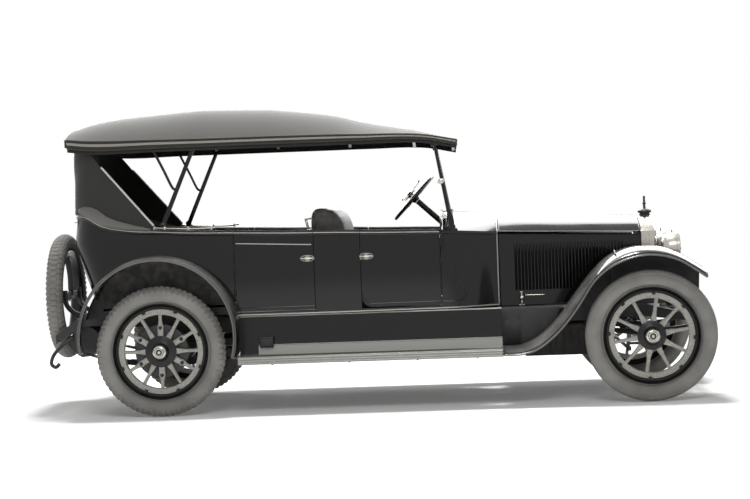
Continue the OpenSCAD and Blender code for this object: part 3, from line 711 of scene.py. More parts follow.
@dataclass(frozen=True)
class Lines:
    """The body's driving curves, the same ones that the frame's solids follow. x runs forward."""

    # plan rows: x, half width; belt and crest rows: x, height
    plan: tuple = (
        (-2.165, 0.640), (-1.915, 0.655), (-1.6, 0.676), (-1.0, 0.680), (-0.4, 0.677), (-0.08, 0.664),
        (0.2, 0.644),
        (0.485, 0.612), (0.585, 0.590), (0.72, 0.520), (0.89, 0.426), (1.4, 0.358), (1.934, 0.302))
    belt: tuple = (
        (-2.165, 1.446), (-2.065, 1.440), (-1.915, 1.368), (-1.715, 1.330), (-1.515, 1.318), (-1.315, 1.305),
        (-1.015, 1.295), (-0.615, 1.280), (-0.215, 1.270), (-0.015, 1.262), (0.485, 1.248), (0.585, 1.243),
        (0.894, 1.223), (1.934, 1.185))
    crest: tuple = ((0.485, 1.384), (0.585, 1.377), (0.894, 1.352), (1.934, 1.293))
    back_x: float = -2.165
    corner: float = 0.25
    arch: tuple = (-1.525, 0.565, 0.552)  # x, z and radius of the rear wheel arch
    base_z: float = 0.692
    rear_base: float = 0.756
    wall: float = 0.042

    def half(self, x: np.ndarray) -> np.ndarray:
        """Half width at x."""
        return smooth(x, self.plan)

    def half_at(self, x: float) -> float:
        """Half width at one x."""
        return float(self.half(np.array([x]))[0])

    def belt_at(self, x: float) -> float:
        """Height of the belt line at one x."""
        return float(self.belt_z(np.array([x]))[0])

    def belt_z(self, x: np.ndarray) -> np.ndarray:
        """Height of the belt line at x."""
        return smooth(x, self.belt)

    def crown(self, x: np.ndarray, t: np.ndarray) -> np.ndarray:
        """Height over the cowl and hood: a parabola from the crest (t = 0) to the belt (t = 1)."""
        crest = smooth(x, self.crest)
        return crest - (crest - self.belt_z(x)) * t**2

    def tuck(self, z: np.ndarray, rear: np.ndarray) -> np.ndarray:
        """How far the wall stands in at height z: a parabola, and a straight lean where it faces the rear."""
        return 0.018 * ((z - 1.05) / 0.3) ** 2 + rear * 0.33 * np.maximum(0, 1.24 - z)

    def base(self, x: np.ndarray) -> np.ndarray:
        """Lower edge of the body, lifted over the rear wheel by the arch's circle."""
        cx, cz, r = self.arch
        rise = np.sqrt(np.maximum(0, r**2 - (x - cx) ** 2))
        plain = np.where(x < cx, self.rear_base, self.base_z)
        return np.where(np.abs(x - cx) < r, np.maximum(plain, cz + rise), plain)

    def side(self, x: Sequence[float]) -> np.ndarray:
        """Stations along the right side: x, y and the outward normal's x and y."""
        x = np.asarray(x, float)
        return np.stack([x, -self.half(x), np.zeros_like(x), -np.ones_like(x)], axis=-1)

    def rear(self, steps: int = 16) -> np.ndarray:
        """Stations round the right rear corner and on to the middle of the back."""
        t = np.linspace(0, math.pi / 2, steps)
        y0 = self.half_at(-1.915) - self.corner
        corner = np.stack([
            self.back_x + self.corner * (1 - np.sin(t)), -y0 - self.corner * np.cos(t), -np.sin(t),
            -np.cos(t)], axis=-1)
        y = np.linspace(-y0, 0, 9)[1:]
        flat = np.stack([np.full_like(y, self.back_x), y, -np.ones_like(y), np.zeros_like(y)], axis=-1)
        return np.concatenate([corner, flat])

    def around(self, half: np.ndarray) -> np.ndarray:
        """A right-hand run of stations and its mirror image, as one run that ends on the left."""
        return np.concatenate([half, half[-2::-1] * np.array([1, -1, 1, -1])])

    def on_wall(self, stations: np.ndarray, z: np.ndarray, depth: float = 0.0) -> np.ndarray:
        """Points on the wall at height z, a depth inside its outer face."""
        s = stations if z.ndim == 1 else stations[:, None]
        inset = self.tuck(z, np.abs(s[..., 2])) + depth
        return xyz(s[..., 0] - s[..., 2] * inset, s[..., 1] - s[..., 3] * inset, z)

    def wall_form(self, stations: np.ndarray, low: np.ndarray, high: np.ndarray, rows: int = 14,
                  finish: int = 0) -> Form:
        """The wall between two heights at each station, closed all round, its upper edge rolled over."""
        s = np.linspace(0, 1, rows)
        z = low[:, None] + (high - low)[:, None] * s
        outer, inner = self.on_wall(stations, z), self.on_wall(stations, z, self.wall)
        return shell(inner, outer, finish)

    def bead(self, stations: np.ndarray, z: np.ndarray, radius: float = 0.006, finish: int = 0,
             closed: bool = False) -> Form:
        """Half-round bead laid along the wall's outer face."""
        return sweep(self.on_wall(stations, z), ring_profile(radius, 8), closed=closed, finish=finish)

    def flank(self, xs: Sequence[float], zs: Sequence[float], proud: float = 0.0) -> np.ndarray:
        """Points on the right-hand wall at pairs of x and z, standing proud of it."""
        return self.on_wall(self.side(xs), np.asarray(zs, float), -proud)


LINES = Lines()


# ---------------------------------------------------------------- body


@dataclass
class Body:
    """The tub with its belt and sill beads, floor, linings and rear wheel arches."""

    front: float = 0.484
    sill: float = 0.722
    rear_edges: tuple = (-0.980, -0.410)
    front_edge: float = -0.085
    wheelhouse_y: float = 0.585
    floor_rear: float = 0.770
    floor_front: float = 0.714

    def tub(self) -> None:
        """Wall all round: full height at the quarters and the pillar, a sill strip under the doors."""
        e = 0.0003
        cx, _, r = LINES.arch
        marks = [self.front, self.front_edge + e, self.front_edge, self.rear_edges[1], self.rear_edges[1] - e,
                 self.rear_edges[0] + e, self.rear_edges[0]]
        arch = cx + r * np.cos(np.radians(np.arange(3, 130, 4)))
        xs = np.unique(np.concatenate([np.arange(-0.96, 0.48, 0.04), marks, arch, [cx + r + 0.002]]))[::-1]
        half = np.concatenate([LINES.side(xs[xs > -1.9]), LINES.rear()])
        ring = LINES.around(half)
        x = ring[:, 0]
        in_front = x > self.front_edge + e / 2
        in_rear = (x > self.rear_edges[0] + e / 2) & (x < self.rear_edges[1] - e / 2)
        in_door = in_front | in_rear
        high = np.where(in_door, self.sill - 0.008, LINES.belt_z(x) - 0.004)
        walls = LINES.wall_form(ring, LINES.base(x), high)
        piece("tub_panels", [walls, *self.floor(), *self.arches()], [BLACK, TRIM, MAT, UNDER], CAR,
              ["body_tub"])
        piece("belt_moulding", self.mouldings(half), [BLACK, STRIPE_AND_HIGHLIGHT], CAR, sharp=60)
        piece("tub_trim", self.linings(half), [TRIM, NICKEL], CAR, sharp=50)

    def floor(self) -> list[Form]:
        """Floors with their linoleum and the heel board."""
        y = self.wheelhouse_y
        back = LINES.half_at(self.front) - 0.05
        front = np.array([[[-0.985, -0.63, 0], [-0.985, 0.63, 0]],
                          [[self.front, -back, 0], [self.front, back, 0]]])
        top = front + [0, 0, self.floor_front]
        plan = np.array([(-1.985, 0.400), (-1.945, y), (-0.982, y)])
        rear = np.stack([xyz(plan[:, 0], side * plan[:, 1], 0 * plan[:, 0]) for side in (-1, 1)], axis=1)
        rear = rear + [0, 0, self.floor_rear]
        riser = rounded_box((-0.996, -0.618, 0.700), (-0.980, 0.618, self.floor_rear - 0.002), 0.002, 1)
        return [shell(top, top - [0, 0, 0.016], 2), shell(rear, rear - [0, 0, 0.016], 2), riser]

    def arches(self) -> list[Form]:
        """Wheelhouse walls and their curved tops, an arc swept between the liner and the body's wall."""
        cx, cz, r = LINES.arch
        a = np.radians(np.linspace(14, 166, 40))
        y = np.array([-0.655, -self.wheelhouse_y + 0.004])
        arc = xyz(np.repeat((cx + r * np.cos(a))[:, None], 2, 1), np.repeat(y[None], 40, 0),
                  np.repeat((cz + r * np.sin(a))[:, None], 2, 1))
        top = shell(arc + [0, 0, 0.006], arc, 3)
        low = np.full_like(a, 0.70)
        face = xyz((cx + r * np.cos(a))[:, None], -self.wheelhouse_y,
                   np.stack([cz + r * np.sin(a) + 0.004, np.minimum(low, cz + r * np.sin(a))], axis=-1))
        wall = shell(face, face + [0, 0.008, 0], 3)
        return joined(top, wall, top.mirrored(), wall.mirrored())

    def mouldings(self, half: np.ndarray) -> list[Form]:
        """Belt bead round the tub, its light line, the sill bead and the bead at the wheel arch; the light
        line and the sill bead are coach paint that also stands for a painted highlight.
        """
        forms = []
        quarter = half[half[:, 0] < self.rear_edges[0] + 0.0001]
        pillar = LINES.side(np.linspace(self.front_edge, self.rear_edges[1], 14))
        for run in (LINES.around(quarter), pillar, pillar * np.array([1, -1, 1, -1])):
            forms += [belt_bead(run), belt_line(run)]
        sill_x = np.linspace(self.front, -0.985, 50)
        # sill bead in light paint: coach line and painted highlight together
        sill = LINES.bead(LINES.side(sill_x), np.full(50, 0.697), 0.005, 1)
        cx, cz, r = LINES.arch
        a = np.radians(np.linspace(15, 128, 40))
        arch = LINES.bead(LINES.side(cx + (r + 0.008) * np.cos(a)), cz + (r + 0.008) * np.sin(a), 0.007)
        back = LINES.around(half[half[:, 0] < -1.93])
        skirt = LINES.bead(back, LINES.base(back[:, 0]) + 0.012, 0.008)
        return forms + joined(sill, sill.mirrored(), arch, arch.mirrored(), skirt)

    def linings(self, half: np.ndarray) -> list[Form]:
        """Leather lining inside the walls and the padded roll along their upper edge."""
        forms = []
        quarter = LINES.around(half[half[:, 0] < self.rear_edges[0] + 0.0001])
        pillar = LINES.side(np.linspace(self.front_edge - 0.002, self.rear_edges[1] + 0.002, 14))
        for run in (quarter, pillar, pillar * np.array([1, -1, 1, -1])):
            forms.append(cap_roll(run))
            forms.append(lining(run, 0.79))
        return forms


def belt_bead(run: np.ndarray) -> Form:
    """The raised belt moulding: a bead 22 mm high along a run of stations, a little under the top edge."""
    path = LINES.on_wall(run, LINES.belt_z(run[:, 0]) - 0.018, -0.002)
    return sweep(path, ring_profile(0.009, 12, 1.35))


def belt_line(run: np.ndarray) -> Form:
    """The fine light line on the belt moulding's crown: a coach line, and also the bead's highlight, painted.
    """
    path = LINES.on_wall(run, LINES.belt_z(run[:, 0]) - 0.010, -0.0075)
    return sweep(path, ring_profile(0.0045, 8, 0.8), finish=1)


def cap_roll(run: np.ndarray) -> Form:
    """Padded leather roll over a wall's upper edge: an oval as wide as the wall."""
    path = LINES.on_wall(run, LINES.belt_z(run[:, 0]) - 0.003, 0.024)
    return sweep(path, ring_profile(0.021, 16, 0.62))


def lining(run: np.ndarray, low: float) -> Form:
    """Leather panel inside a wall, 5 mm thick, with a pleat wave of 60 mm pitch near its middle height."""
    z = np.linspace(low, 1, 12)[None, :] * np.ones((len(run), 1))
    top = LINES.belt_z(run[:, 0])[:, None] - 0.012
    z = low + (top - low) * np.linspace(0, 1, 12)[None, :]
    face = LINES.on_wall(run, z, LINES.wall + 0.006)
    return shell(LINES.on_wall(run, z, LINES.wall + 0.0005), face)


@dataclass
class Door:
    """One door: skin, moulding, handle, hinges, lining and map pocket."""

    which: str
    edges: tuple
    rounded: bool
    handle: tuple
    hinge_end: int
    sill: float = 0.722
    round_r: float = 0.075

    def stations(self) -> np.ndarray:
        """Stations from the front edge to the rear edge, closer together round the rounded corner."""
        rear, front = self.edges
        curve = rear + self.round_r * (1 - np.cos(np.radians(np.arange(0, 90, 9))))
        xs = np.concatenate([curve, np.linspace(rear + self.round_r, front, 14)])
        return LINES.side(xs[::-1])

    def low(self, x: np.ndarray) -> np.ndarray:
        """Lower edge: level, with a quarter circle up to the rear edge on a rounded door."""
        if not self.rounded:
            return np.full_like(x, self.sill)
        u = np.clip(self.edges[0] + self.round_r - x, 0, self.round_r)
        return self.sill + self.round_r - np.sqrt(np.maximum(0, self.round_r**2 - u**2))

    def build(self, side: Side) -> None:
        """Builds the door on one side."""
        run = self.stations()
        x = run[:, 0]
        rear, front = self.edges
        forms = [LINES.wall_form(run, self.low(x), LINES.belt_z(x) - 0.004), belt_bead(run), belt_line(run)]
        inner = run[(x > rear + 0.02) & (x < front - 0.02)]
        forms += [cap_roll(run).painted(2), lining(inner, 0.80).painted(2)]
        foot = LINES.side(np.linspace(front - 0.004, rear + (self.round_r if self.rounded else 0.004), 24))
        forms.append(LINES.bead(foot, np.full(24, self.sill + 0.024), 0.004))
        if self.rounded:
            a = np.radians(np.linspace(0, 90, 10))
            r = self.round_r
            forms.append(LINES.bead(LINES.side(rear + r - (r - 0.004) * np.sin(a)),
                self.sill + r + 0.020 - (r - 0.004) * np.cos(a), 0.004))
        else:
            xs = np.linspace(rear + 0.012, front - 0.012, 20)
            rail = LINES.flank(xs, 1.207 - 0.0268 * (xs - rear) / (front - rear), 0.001)
            forms.append(sweep(rail, ring_profile(0.0045, 8), finish=3))
        forms += self.pocket(inner)
        forms += self.hardware()
        name = f"{self.which}_door_{side.word}"
        piece(f"{name}_skin", [f.on(side) for f in forms], [BLACK, STRIPE_AND_HIGHLIGHT, TRIM, BRIGHT, NICKEL], name,
              [name])

    def pocket(self, run: np.ndarray) -> list[Form]:
        """Map pocket: a leather flap that stands a little off the lining, with a welt along its mouth."""
        z = 0.84 + 0.17 * np.linspace(0, 1, 8)[None, :] * np.ones((len(run), 1))
        swell = 0.010 + 0.012 * np.sin(np.linspace(0, math.pi, len(run)))[:, None] * np.linspace(0.2, 1,
            8)[None, :]
        base = LINES.on_wall(run, z, LINES.wall + 0.004)
        face = base + xyz(np.zeros_like(z), swell, np.zeros_like(z))
        welt = sweep(face[:, -1], ring_profile(0.005, 8), finish=2)
        return [shell(base, face, 2), welt]

    def hardware(self) -> list[Form]:
        """Lever handle on its oval plate outside, a pull inside, and three barrel hinges."""
        hx, hz = self.handle
        at = LINES.flank([hx], [hz])[0]
        plate = lathe([(0, 0), (0.019, 0), (0.019, 0.003), (0.013, 0.007), (0.011, 0.018), (0.0, 0.019)],
                      24, 4)
        out = (0, -1, 0)
        bow = np.array([[-0.048, 0, 0.001], [-0.03, -0.003, 0.001], [0, -0.004, 0],
                        [0.03, -0.003, 0.001], [0.048, 0, 0.001]])
        swell = np.concatenate([np.linspace(0.7, 1.2, 11), np.linspace(1.2, 0.7, 10)])
        lever = sweep(bent(at + np.array([0, -0.022, 0]) + bow, 5), ring_profile(0.0085, 10, 0.7),
                      scale=swell, finish=4)
        forms = [plate.stood(at, out), lever, dome(0.011, 0.008, 4).stood(at + [0, -0.027, 0], out)]
        oval = sweep(at + xyz(0.047 * np.cos(np.linspace(0, 2 * math.pi, 33)[:-1]), -0.003,
                              0.021 * np.sin(np.linspace(0, 2 * math.pi, 33)[:-1])),
                     ring_profile(0.0035, 6), ref=(0, 1, 0), closed=True, finish=4)
        forms.append(oval)
        inside = LINES.flank([hx], [hz + 0.02], -LINES.wall - 0.006)[0]
        pull = bent(inside + np.array([[-0.06, 0, 0], [-0.04, 0.03, 0], [0.04, 0.03, 0], [0.06, 0, 0]]), 6)
        forms.append(tube(pull, 0.005, 8, 4))
        edge = self.edges[self.hinge_end]
        barrel = lathe([(0, 0), (0.0075, 0), (0.0075, 0.05), (0.005, 0.056), (0, 0.056)], 12)
        barrel_x = edge + (0.003 if self.hinge_end else -0.003)
        for z in (0.86, 1.02, 1.17):
            forms.append(barrel.stood(LINES.flank([barrel_x], [z], 0.003)[0] - [0, 0, 0.028]))
        return forms


@dataclass
class Cowl:
    """The cowl between the body and the hood, with its beads, firewall and instrument board."""

    rear: float = 0.485
    front: float = 0.890
    thickness: float = 0.014

    def section(self, x: np.ndarray, low: float, inset: float = 0.0) -> np.ndarray:
        """Rows of points over the car at each x: up the side, then over the crown's parabola."""
        half = (LINES.half(x) - inset)[:, None]
        shoulder = (LINES.belt_z(x) - 0.4 * inset)[:, None]
        s = np.linspace(0, 1, 12)[None, :]
        side = xyz(x[:, None], -half, low + (shoulder - low) * s)
        side[..., 1] += LINES.tuck(side[..., 2], 0) * np.clip((0.62 - x[:, None]) / 0.14, 0, 1)
        t = np.sin(np.linspace(math.pi / 2, 0, 18))[None, 1:]
        z = LINES.crown(x[:, None], t) - inset * (1 - 0.6 * t**2)
        over = xyz(x[:, None], -half * t, z)
        right = np.concatenate([side, over], axis=1)
        left = right[:, -2::-1] * np.array([1, -1, 1])
        return np.concatenate([right, left], axis=1)

    def build(self) -> None:
        """Shell, beads and boards."""
        x = np.linspace(self.rear, self.front, 30)
        outer, inner = self.section(x, LINES.base_z), self.section(x, LINES.base_z, self.thickness)
        forms = [shell(inner, outer)]
        edge = self.section(np.array([self.front + 0.001]), LINES.base_z, -0.001)[0]
        forms.append(sweep(edge, ring_profile(0.006, 8), ref=(1, 0, 0), finish=1))
        scuttle = self.section(np.array([self.rear + 0.012]), 1.10, -0.001)[0]
        forms.append(sweep(scuttle, ring_profile(0.009, 8), ref=(1, 0, 0)))
        xs = np.linspace(self.rear, self.front, 24)
        for side in Side:
            half = LINES.half(xs) + 0.0005
            belt = xyz(xs, -half, LINES.belt_z(xs) - 0.016)
            forms.append(sweep(belt, ring_profile(0.007, 10, 1.3)).on(side))
            sill = xyz(xs, -half + LINES.tuck(np.full(24, 0.697), 0) * np.clip((0.62 - xs) / 0.14, 0, 1),
                       0.697)
            # sill bead in light paint: coach line and painted highlight together
            forms.append(sweep(sill, ring_profile(0.005, 8), finish=2).on(side))
            swoop = bent([(0.49, 0, 0.744), (0.56, 0, 0.742), (0.62, 0, 0.750), (0.655, 0, 0.775),
                          (0.640, 0, 0.83), (0.60, 0, 0.90), (0.575, 0, 1.0)], 6)
            y = LINES.half(swoop[:, 0]) - LINES.tuck(swoop[:, 2], 0) * np.clip((0.62 - swoop[:, 0]) / 0.14, 0,
                1)
            swoop[:, 1] = -y
            forms.append(sweep(swoop, ring_profile(0.0035, 8)).on(side))
        piece("cowl_shell", forms, [BLACK, BRIGHT, STRIPE_AND_HIGHLIGHT], CAR, ["cowl"])
        self.boards()

    def boards(self) -> None:
        """Firewall, instrument board with its dials and switches, and the pedals under it."""
        wall = self.section(np.array([0.868, 0.884]), 0.70, 0.012)
        rows = wall.shape[1] // 2
        right, left = wall[:, :rows + 1], wall[:, :rows - 1:-1]
        fire = [grid(np.stack([right[0], left[0]])), grid(np.stack([right[1], left[1]]), flip=True)]
        rim = self.section(np.array([0.868, 0.884]), 0.70, 0.012)
        fire.append(grid(rim))
        bottom = np.stack([rim[:, 0], rim[:, -1]])
        fire.append(grid(bottom))
        piece("firewall", fire, [UNDER], CAR, sharp=40)
        dash_x = np.array([0.497, 0.513])
        dash = self.section(dash_x, 1.12, 0.016)
        right, left = dash[:, :rows + 1], dash[:, :rows - 1:-1]
        face = [grid(np.stack([right[0], left[0]])), grid(np.stack([right[1], left[1]]), flip=True),
                grid(dash), grid(np.stack([dash[:, 0], dash[:, -1]]))]
        dials = []
        for y, z, r in ((0.0, 1.235, 0.052), (0.15, 1.225, 0.038), (-0.15, 1.225, 0.038),
                        (-0.29, 1.21, 0.028)):
            at = place((0.497, y, z), (-1, 0, 0))
            ring = lathe([(r * 0.86, 0), (r * 0.86, 0.006), (r, 0.008), (r * 1.1, 0.004), (r * 1.1, 0)], 32,
                         1)
            dials.append(ring.turned(at))
            dials.append(lathe([(0, 0), (r * 0.9, 0), (r * 0.9, 0.003), (0, 0.0031)], 32, 2).turned(at))
            marks = copies(rounded_box((-0.0006, r * 0.68, 0.003), (0.0006, r * 0.8, 0.0038), 0.0003, 3),
                           round_z(12))
            dials.append(marks.turned(at))
            dials.append(rounded_box((-0.0009, -0.004, 0.0036), (0.0009, r * 0.6, 0.0046), 0.0004,
                                     3).turned(at))
        for y in (-0.38, -0.43, 0.33):
            dials.append(lathe([(0, 0), (0.014, 0), (0.012, 0.008), (0.005, 0.012), (0.005, 0.024),
                                (0.010, 0.028), (0.009, 0.036), (0, 0.037)], 16,
                                1).stood((0.497, y, 1.195), (-1, 0, 0)))
        piece("instrument_board", joined(*face, *dials), [WALNUT, NICKEL, DIAL, UNDER], CAR,
              sharp=40)
        pedals = []
        for y in (0.26, 0.35, 0.44):
            path = bent([(0.80, y, 0.83), (0.72, y, 0.87), (0.66, y, 0.90)], 5)
            pedals.append(tube(path, 0.009, 8))
            pad = rounded_box((-0.035, -0.028, 0), (0.035, 0.028, 0.012), 0.005)
            pedals.append(pad.stood((0.655, y, 0.905), (-0.7, 0, 0.71)))
        lever = bent([(0.50, 0.05, 0.72), (0.47, 0.05, 0.80), (0.40, 0.06, 0.98), (0.33, 0.08, 1.12)], 6)
        pedals.append(tube(lever, 0.010, 10))
        pedals.append(lathe([(0, -0.02), (0.012, -0.018), (0.024, 0), (0.018, 0.018), (0, 0.026)],
                            16).stood((0.325, 0.082, 1.135)))
        brake = bent([(0.56, 0.13, 0.72), (0.55, 0.13, 0.85), (0.50, 0.13, 1.02)], 6)
        pedals.append(tube(brake, 0.009, 8))
        toe = rounded_box((0, -0.44, -0.008), (0.20, 0.44, 0.0), 0.002)
        slope = np.eye(4)
        slope[:3, :3] = [[math.cos(0.75), 0, -math.sin(0.75)], [0, 1, 0], [math.sin(0.75), 0, math.cos(0.75)]]
        slope[:3, 3] = (0.69, 0, 0.716)
        pedals.append(toe.turned(slope).painted(1))
        piece("pedals_and_levers", pedals, [UNDER, MAT], CAR, sharp=40)


@dataclass
class Hood:
    """The hood: two top panels on a centre hinge, two side panels with louvres, catches and rods."""

    rear: float = 0.900
    front: float = 1.928
    sheet: float = 0.004
    base: float = 0.682
    louvres: int = 33
    louvre_pitch: float = 0.0245
    louvre_rear: float = 1.012
    louvre_z: tuple = (0.792, 1.128)

    def top(self, side: Side) -> None:
        """Top panel: the crown's parabola from shoulder to centre hinge, with a rolled shoulder bead."""
        x = np.linspace(self.rear, self.front, 24)[:, None]
        t = np.sin(np.linspace(math.pi / 2, 0.008, 20))[None, :]
        half = LINES.half(x)
        y = -(half * t)
        y = np.minimum(y, -0.004) + 0.004 * t
        z = LINES.crown(x, t)
        rows = xyz(x, y, z)
        forms = [sheet_up(rows, self.sheet)]
        forms.append(sweep(rows[:, 0] + [0, 0.002, -0.001], ring_profile(0.0040, 8)))
        knuckles = np.linspace(self.rear + 0.004, self.front - 0.004, 9)
        for a, b in list(zip(knuckles[:-1], knuckles[1:]))[(side is Side.LEFT)::2]:
            span = np.linspace(a + 0.001, b - 0.001, 3)
            hinge = xyz(span, np.zeros(3), LINES.crown(span, np.zeros(3)) + 0.001)
            forms.append(sweep(hinge, ring_profile(0.0055, 10), finish=1).on(side))
        for x0 in (self.rear + 0.006, self.front - 0.006):
            edge_x = np.full(20, x0)
            edge = xyz(edge_x, rows[0, :, 1] * LINES.half(edge_x) / LINES.half_at(self.rear),
                       LINES.crown(edge_x, t[0]) + 0.0005)
            forms.append(sweep(edge, ring_profile(0.0035, 6), ref=(1, 0, 0)))
        name = f"hood_top_{side.word}"
        placed = [f if number > 1 and f.finish else f.on(side) for number, f in enumerate(forms)]
        piece(f"{name}_panel", placed, [BLACK, NICKEL], name, [name])

    def louvre(self) -> Form:
        """One louvre: a blister that ramps up over its width and drops at its rear, its ends round."""
        width, height = 0.0185, 0.0085
        z0, z1 = self.louvre_z
        s = np.concatenate([np.linspace(0, 0.035, 7), np.linspace(0.965, 1, 7)])[:, None]
        v = np.array([0, 0.10, 0.16, 0.3, 0.5, 0.75, 1.0])[None, :]
        rise = np.interp(v, [0, 0.10, 0.16, 0.5, 1.0], [0, 0.85, 1.0, 0.62, 0])
        near = np.minimum(s, 1 - s) / 0.035
        cap = np.sqrt(np.clip(1 - (1 - near) ** 2, 0, 1))
        skin = xyz(width * v, -height * rise * cap, z0 + (z1 - z0) * s)
        back = skin * [1, 0, 1] + [0, 0.001, 0]
        return shell(back, skin)

    def side(self, side: Side) -> None:
        """Side panel on its slanting plane, with louvres, a frame bead, catch and lock rod."""
        x = np.linspace(self.rear, self.front, 24)[:, None]
        s = np.linspace(0, 1, 6)[None, :]
        top = LINES.belt_z(x) - 0.019
        rows = xyz(x, -LINES.half(x), self.base + (top - self.base) * s)
        forms = [shell(rows + [0, self.sheet, 0], rows)]
        xs = self.louvre_rear + np.arange(self.louvres) * self.louvre_pitch
        slope = np.gradient(LINES.half(xs), xs)
        m = np.tile(np.eye(4), (self.louvres, 1, 1))
        m[:, 1, 0] = -slope
        m[:, 0, 3], m[:, 1, 3] = xs, -LINES.half(xs)
        forms.append(copies(self.louvre(), m))
        border_x = np.linspace(self.rear + 0.004, self.front - 0.004, 20)
        y = -LINES.half(border_x) - 0.001
        for z in (self.base + 0.004, None):
            level = LINES.belt_z(border_x) - 0.023 if z is None else np.full(20, z)
            forms.append(sweep(xyz(border_x, y, level), ring_profile(0.0035, 6)))
        for bx in (self.rear + 0.004, self.front - 0.004):
            column = xyz(bx, -LINES.half_at(bx) - 0.001,
                         np.linspace(self.base + 0.004, LINES.belt_at(bx) - 0.023, 4))
            forms.append(sweep(column, ring_profile(0.0035, 6), ref=(1, 0, 0)))
        forms += self.catch()
        name = f"hood_side_{side.word}"
        piece(f"{name}_panel", [f.on(side) for f in forms], [BLACK, NICKEL], name, [name], sharp=40)

    def catch(self) -> list[Form]:
        """Nickel catch with its turned handle, and the lift rod beside it."""
        x = 1.055
        at = np.array([x, -LINES.half_at(x) - 0.004, 0.69])
        post = lathe([(0, 0), (0.014, 0), (0.016, 0.006), (0.008, 0.012), (0.008, 0.030), (0.017, 0.040),
                      (0.019, 0.050),
                      (0.013, 0.062), (0.007, 0.068), (0.007, 0.082), (0.020, 0.088), (0.020, 0.094),
                      (0, 0.096)], 24, 1)
        rod_x = np.array([x + 0.03, x + 0.16])
        rod = xyz(rod_x, -LINES.half(rod_x) - 0.012, 0.755)
        foot = rounded_box((x - 0.02, at[1] - 0.016, 0.683), (x + 0.02, at[1] + 0.004, 0.692), 0.003, 1)
        return [post.stood(at + [0, -0.010, 0]), tube(rod, 0.005, 8, 1), foot,
                dome(0.008, 0.01, 1).stood(rod[0], (0, -1, 0)),
                dome(0.008, 0.01, 1).stood(rod[1], (0, -1, 0))]


def sheet_up(rows: np.ndarray, thickness: float, finish: int = 0) -> Form:
    """Closed panel between a grid and its copy a thickness lower."""
    return shell(rows - [0, 0, thickness], rows, finish)


# ---------------------------------------------------------------- front end


@dataclass
class Radiator:
    """Nickel radiator shell with its core, filler cap and thermometer stem."""

    rear: float = 1.934
    depth: float = 0.114
    base: float = 0.56
    cowl: Cowl = field(default_factory=Cowl)

    def outline(self, inset: float) -> np.ndarray:
        """The shell's section, y and z, shrunk by an inset."""
        section = self.cowl.section(np.array([self.rear]), self.base + max(inset, 0.0), inset - 0.003)[0]
        return section[:, 1:]

    def ring(self, x: float, inset: float) -> np.ndarray:
        """The outline at a place along the car."""
        o = self.outline(inset)
        return np.concatenate([np.full((len(o), 1), x), o], axis=-1)

    def build(self) -> None:
        """Shell, core, cap and badge-free surround."""
        front = self.rear + self.depth
        steps = [(self.rear + 0.02, 0.03), (self.rear, 0.03), (self.rear, 0.001), (self.rear + 0.012, 0.0),
                 (front - 0.030, 0.0), (front - 0.016, 0.0015), (front - 0.007, 0.006),
                 (front - 0.002, 0.014),
                 (front, 0.024), (front, 0.034), (front - 0.004, 0.040), (front - 0.012, 0.042),
                 (front - 0.03, 0.042)]
        skin = np.stack([self.ring(x, d) for x, d in steps])
        forms = [grid(skin, wrap_rows=True, wrap_columns=True, flip=True)]
        inner = self.ring(front - 0.022, 0.038)
        n = len(inner) // 2
        forms.append(grid(np.stack([inner[:n + 1], inner[:n - 1:-1]]), flip=True).painted(1))
        back = self.ring(self.rear + 0.01, 0.02)
        forms.append(grid(np.stack([back[:n + 1], back[:n - 1:-1]])).painted(1))
        forms += self.core(front - 0.016)
        for side in Side:
            xs = np.full(2, front - 0.06)
            y = float(-self.outline(0)[8, 0]) + 0.001
            strap = xyz(xs, -y, np.array([0.60, 1.17]))
            forms.append(sweep(strap, ring_profile(0.004, 6), ref=(1, 0, 0)).on(side))
        piece("radiator_shell", forms, [NICKEL, UNDER, IRON], CAR, ["radiator"], sharp=40)
        cap_z = 1.280
        cap = lathe([(0, -0.02), (0.036, -0.02), (0.036, 0.0), (0.043, 0.002), (0.043, 0.020), (0.036, 0.024),
                     (0.036, 0.030), (0.047, 0.034), (0.047, 0.050), (0.040, 0.056), (0.030, 0.062),
                     (0.014, 0.066),
                     (0.010, 0.072), (0.009, 0.094), (0.014, 0.098), (0.014, 0.106), (0.009, 0.110),
                     (0.0075, 0.142), (0.010, 0.148), (0.007, 0.156), (0, 0.158)], 40)
        at = place((self.rear + 0.060, 0, cap_z))
        knurl = copies(rounded_box((0.045, -0.0022, 0.035), (0.0495, 0.0022, 0.049), 0.001), round_z(28))
        wings = tube([(0, -0.062, 0.042), (0, 0.062, 0.042)], 0.009, 10)
        piece("filler_cap", [f.turned(at) for f in (cap, knurl, wings)], [UNDER], CAR,
              sharp=40)

    def core(self, x: float) -> list[Form]:
        """Upright water tubes at 9 mm and fins at 14 mm, each as long as the opening is there."""
        edge = self.outline(0.040)
        half = len(edge) // 2
        ys = np.arange(-0.252, 0.253, 0.009)
        top = np.interp(np.abs(ys), edge[half::-1][:, 0] * -1, edge[half::-1][:, 1])
        low = self.base + 0.042
        m = np.tile(np.eye(4), (len(ys), 1, 1))
        m[:, 2, 2] = top - low
        m[:, 1, 3], m[:, 2, 3], m[:, 0, 3] = ys, low, x
        slat = rounded_box((-0.004, -0.0016, 0), (0.004, 0.0016, 1), 0.001, 2)
        tubes = copies(slat, m)
        zs = np.arange(low + 0.01, float(top.max()), 0.014)
        right, rise = -edge[:half + 1, 0], edge[:half + 1, 1]
        width = np.interp(zs, np.maximum.accumulate(rise), right)
        m = np.tile(np.eye(4), (len(zs), 1, 1))
        m[:, 1, 1] = width
        m[:, 0, 3], m[:, 2, 3] = x - 0.003, zs
        fins = copies(rounded_box((-0.003, -1, -0.0012), (0.003, 1, 0.0012), 0.001, 2), m)
        return [tubes, fins]


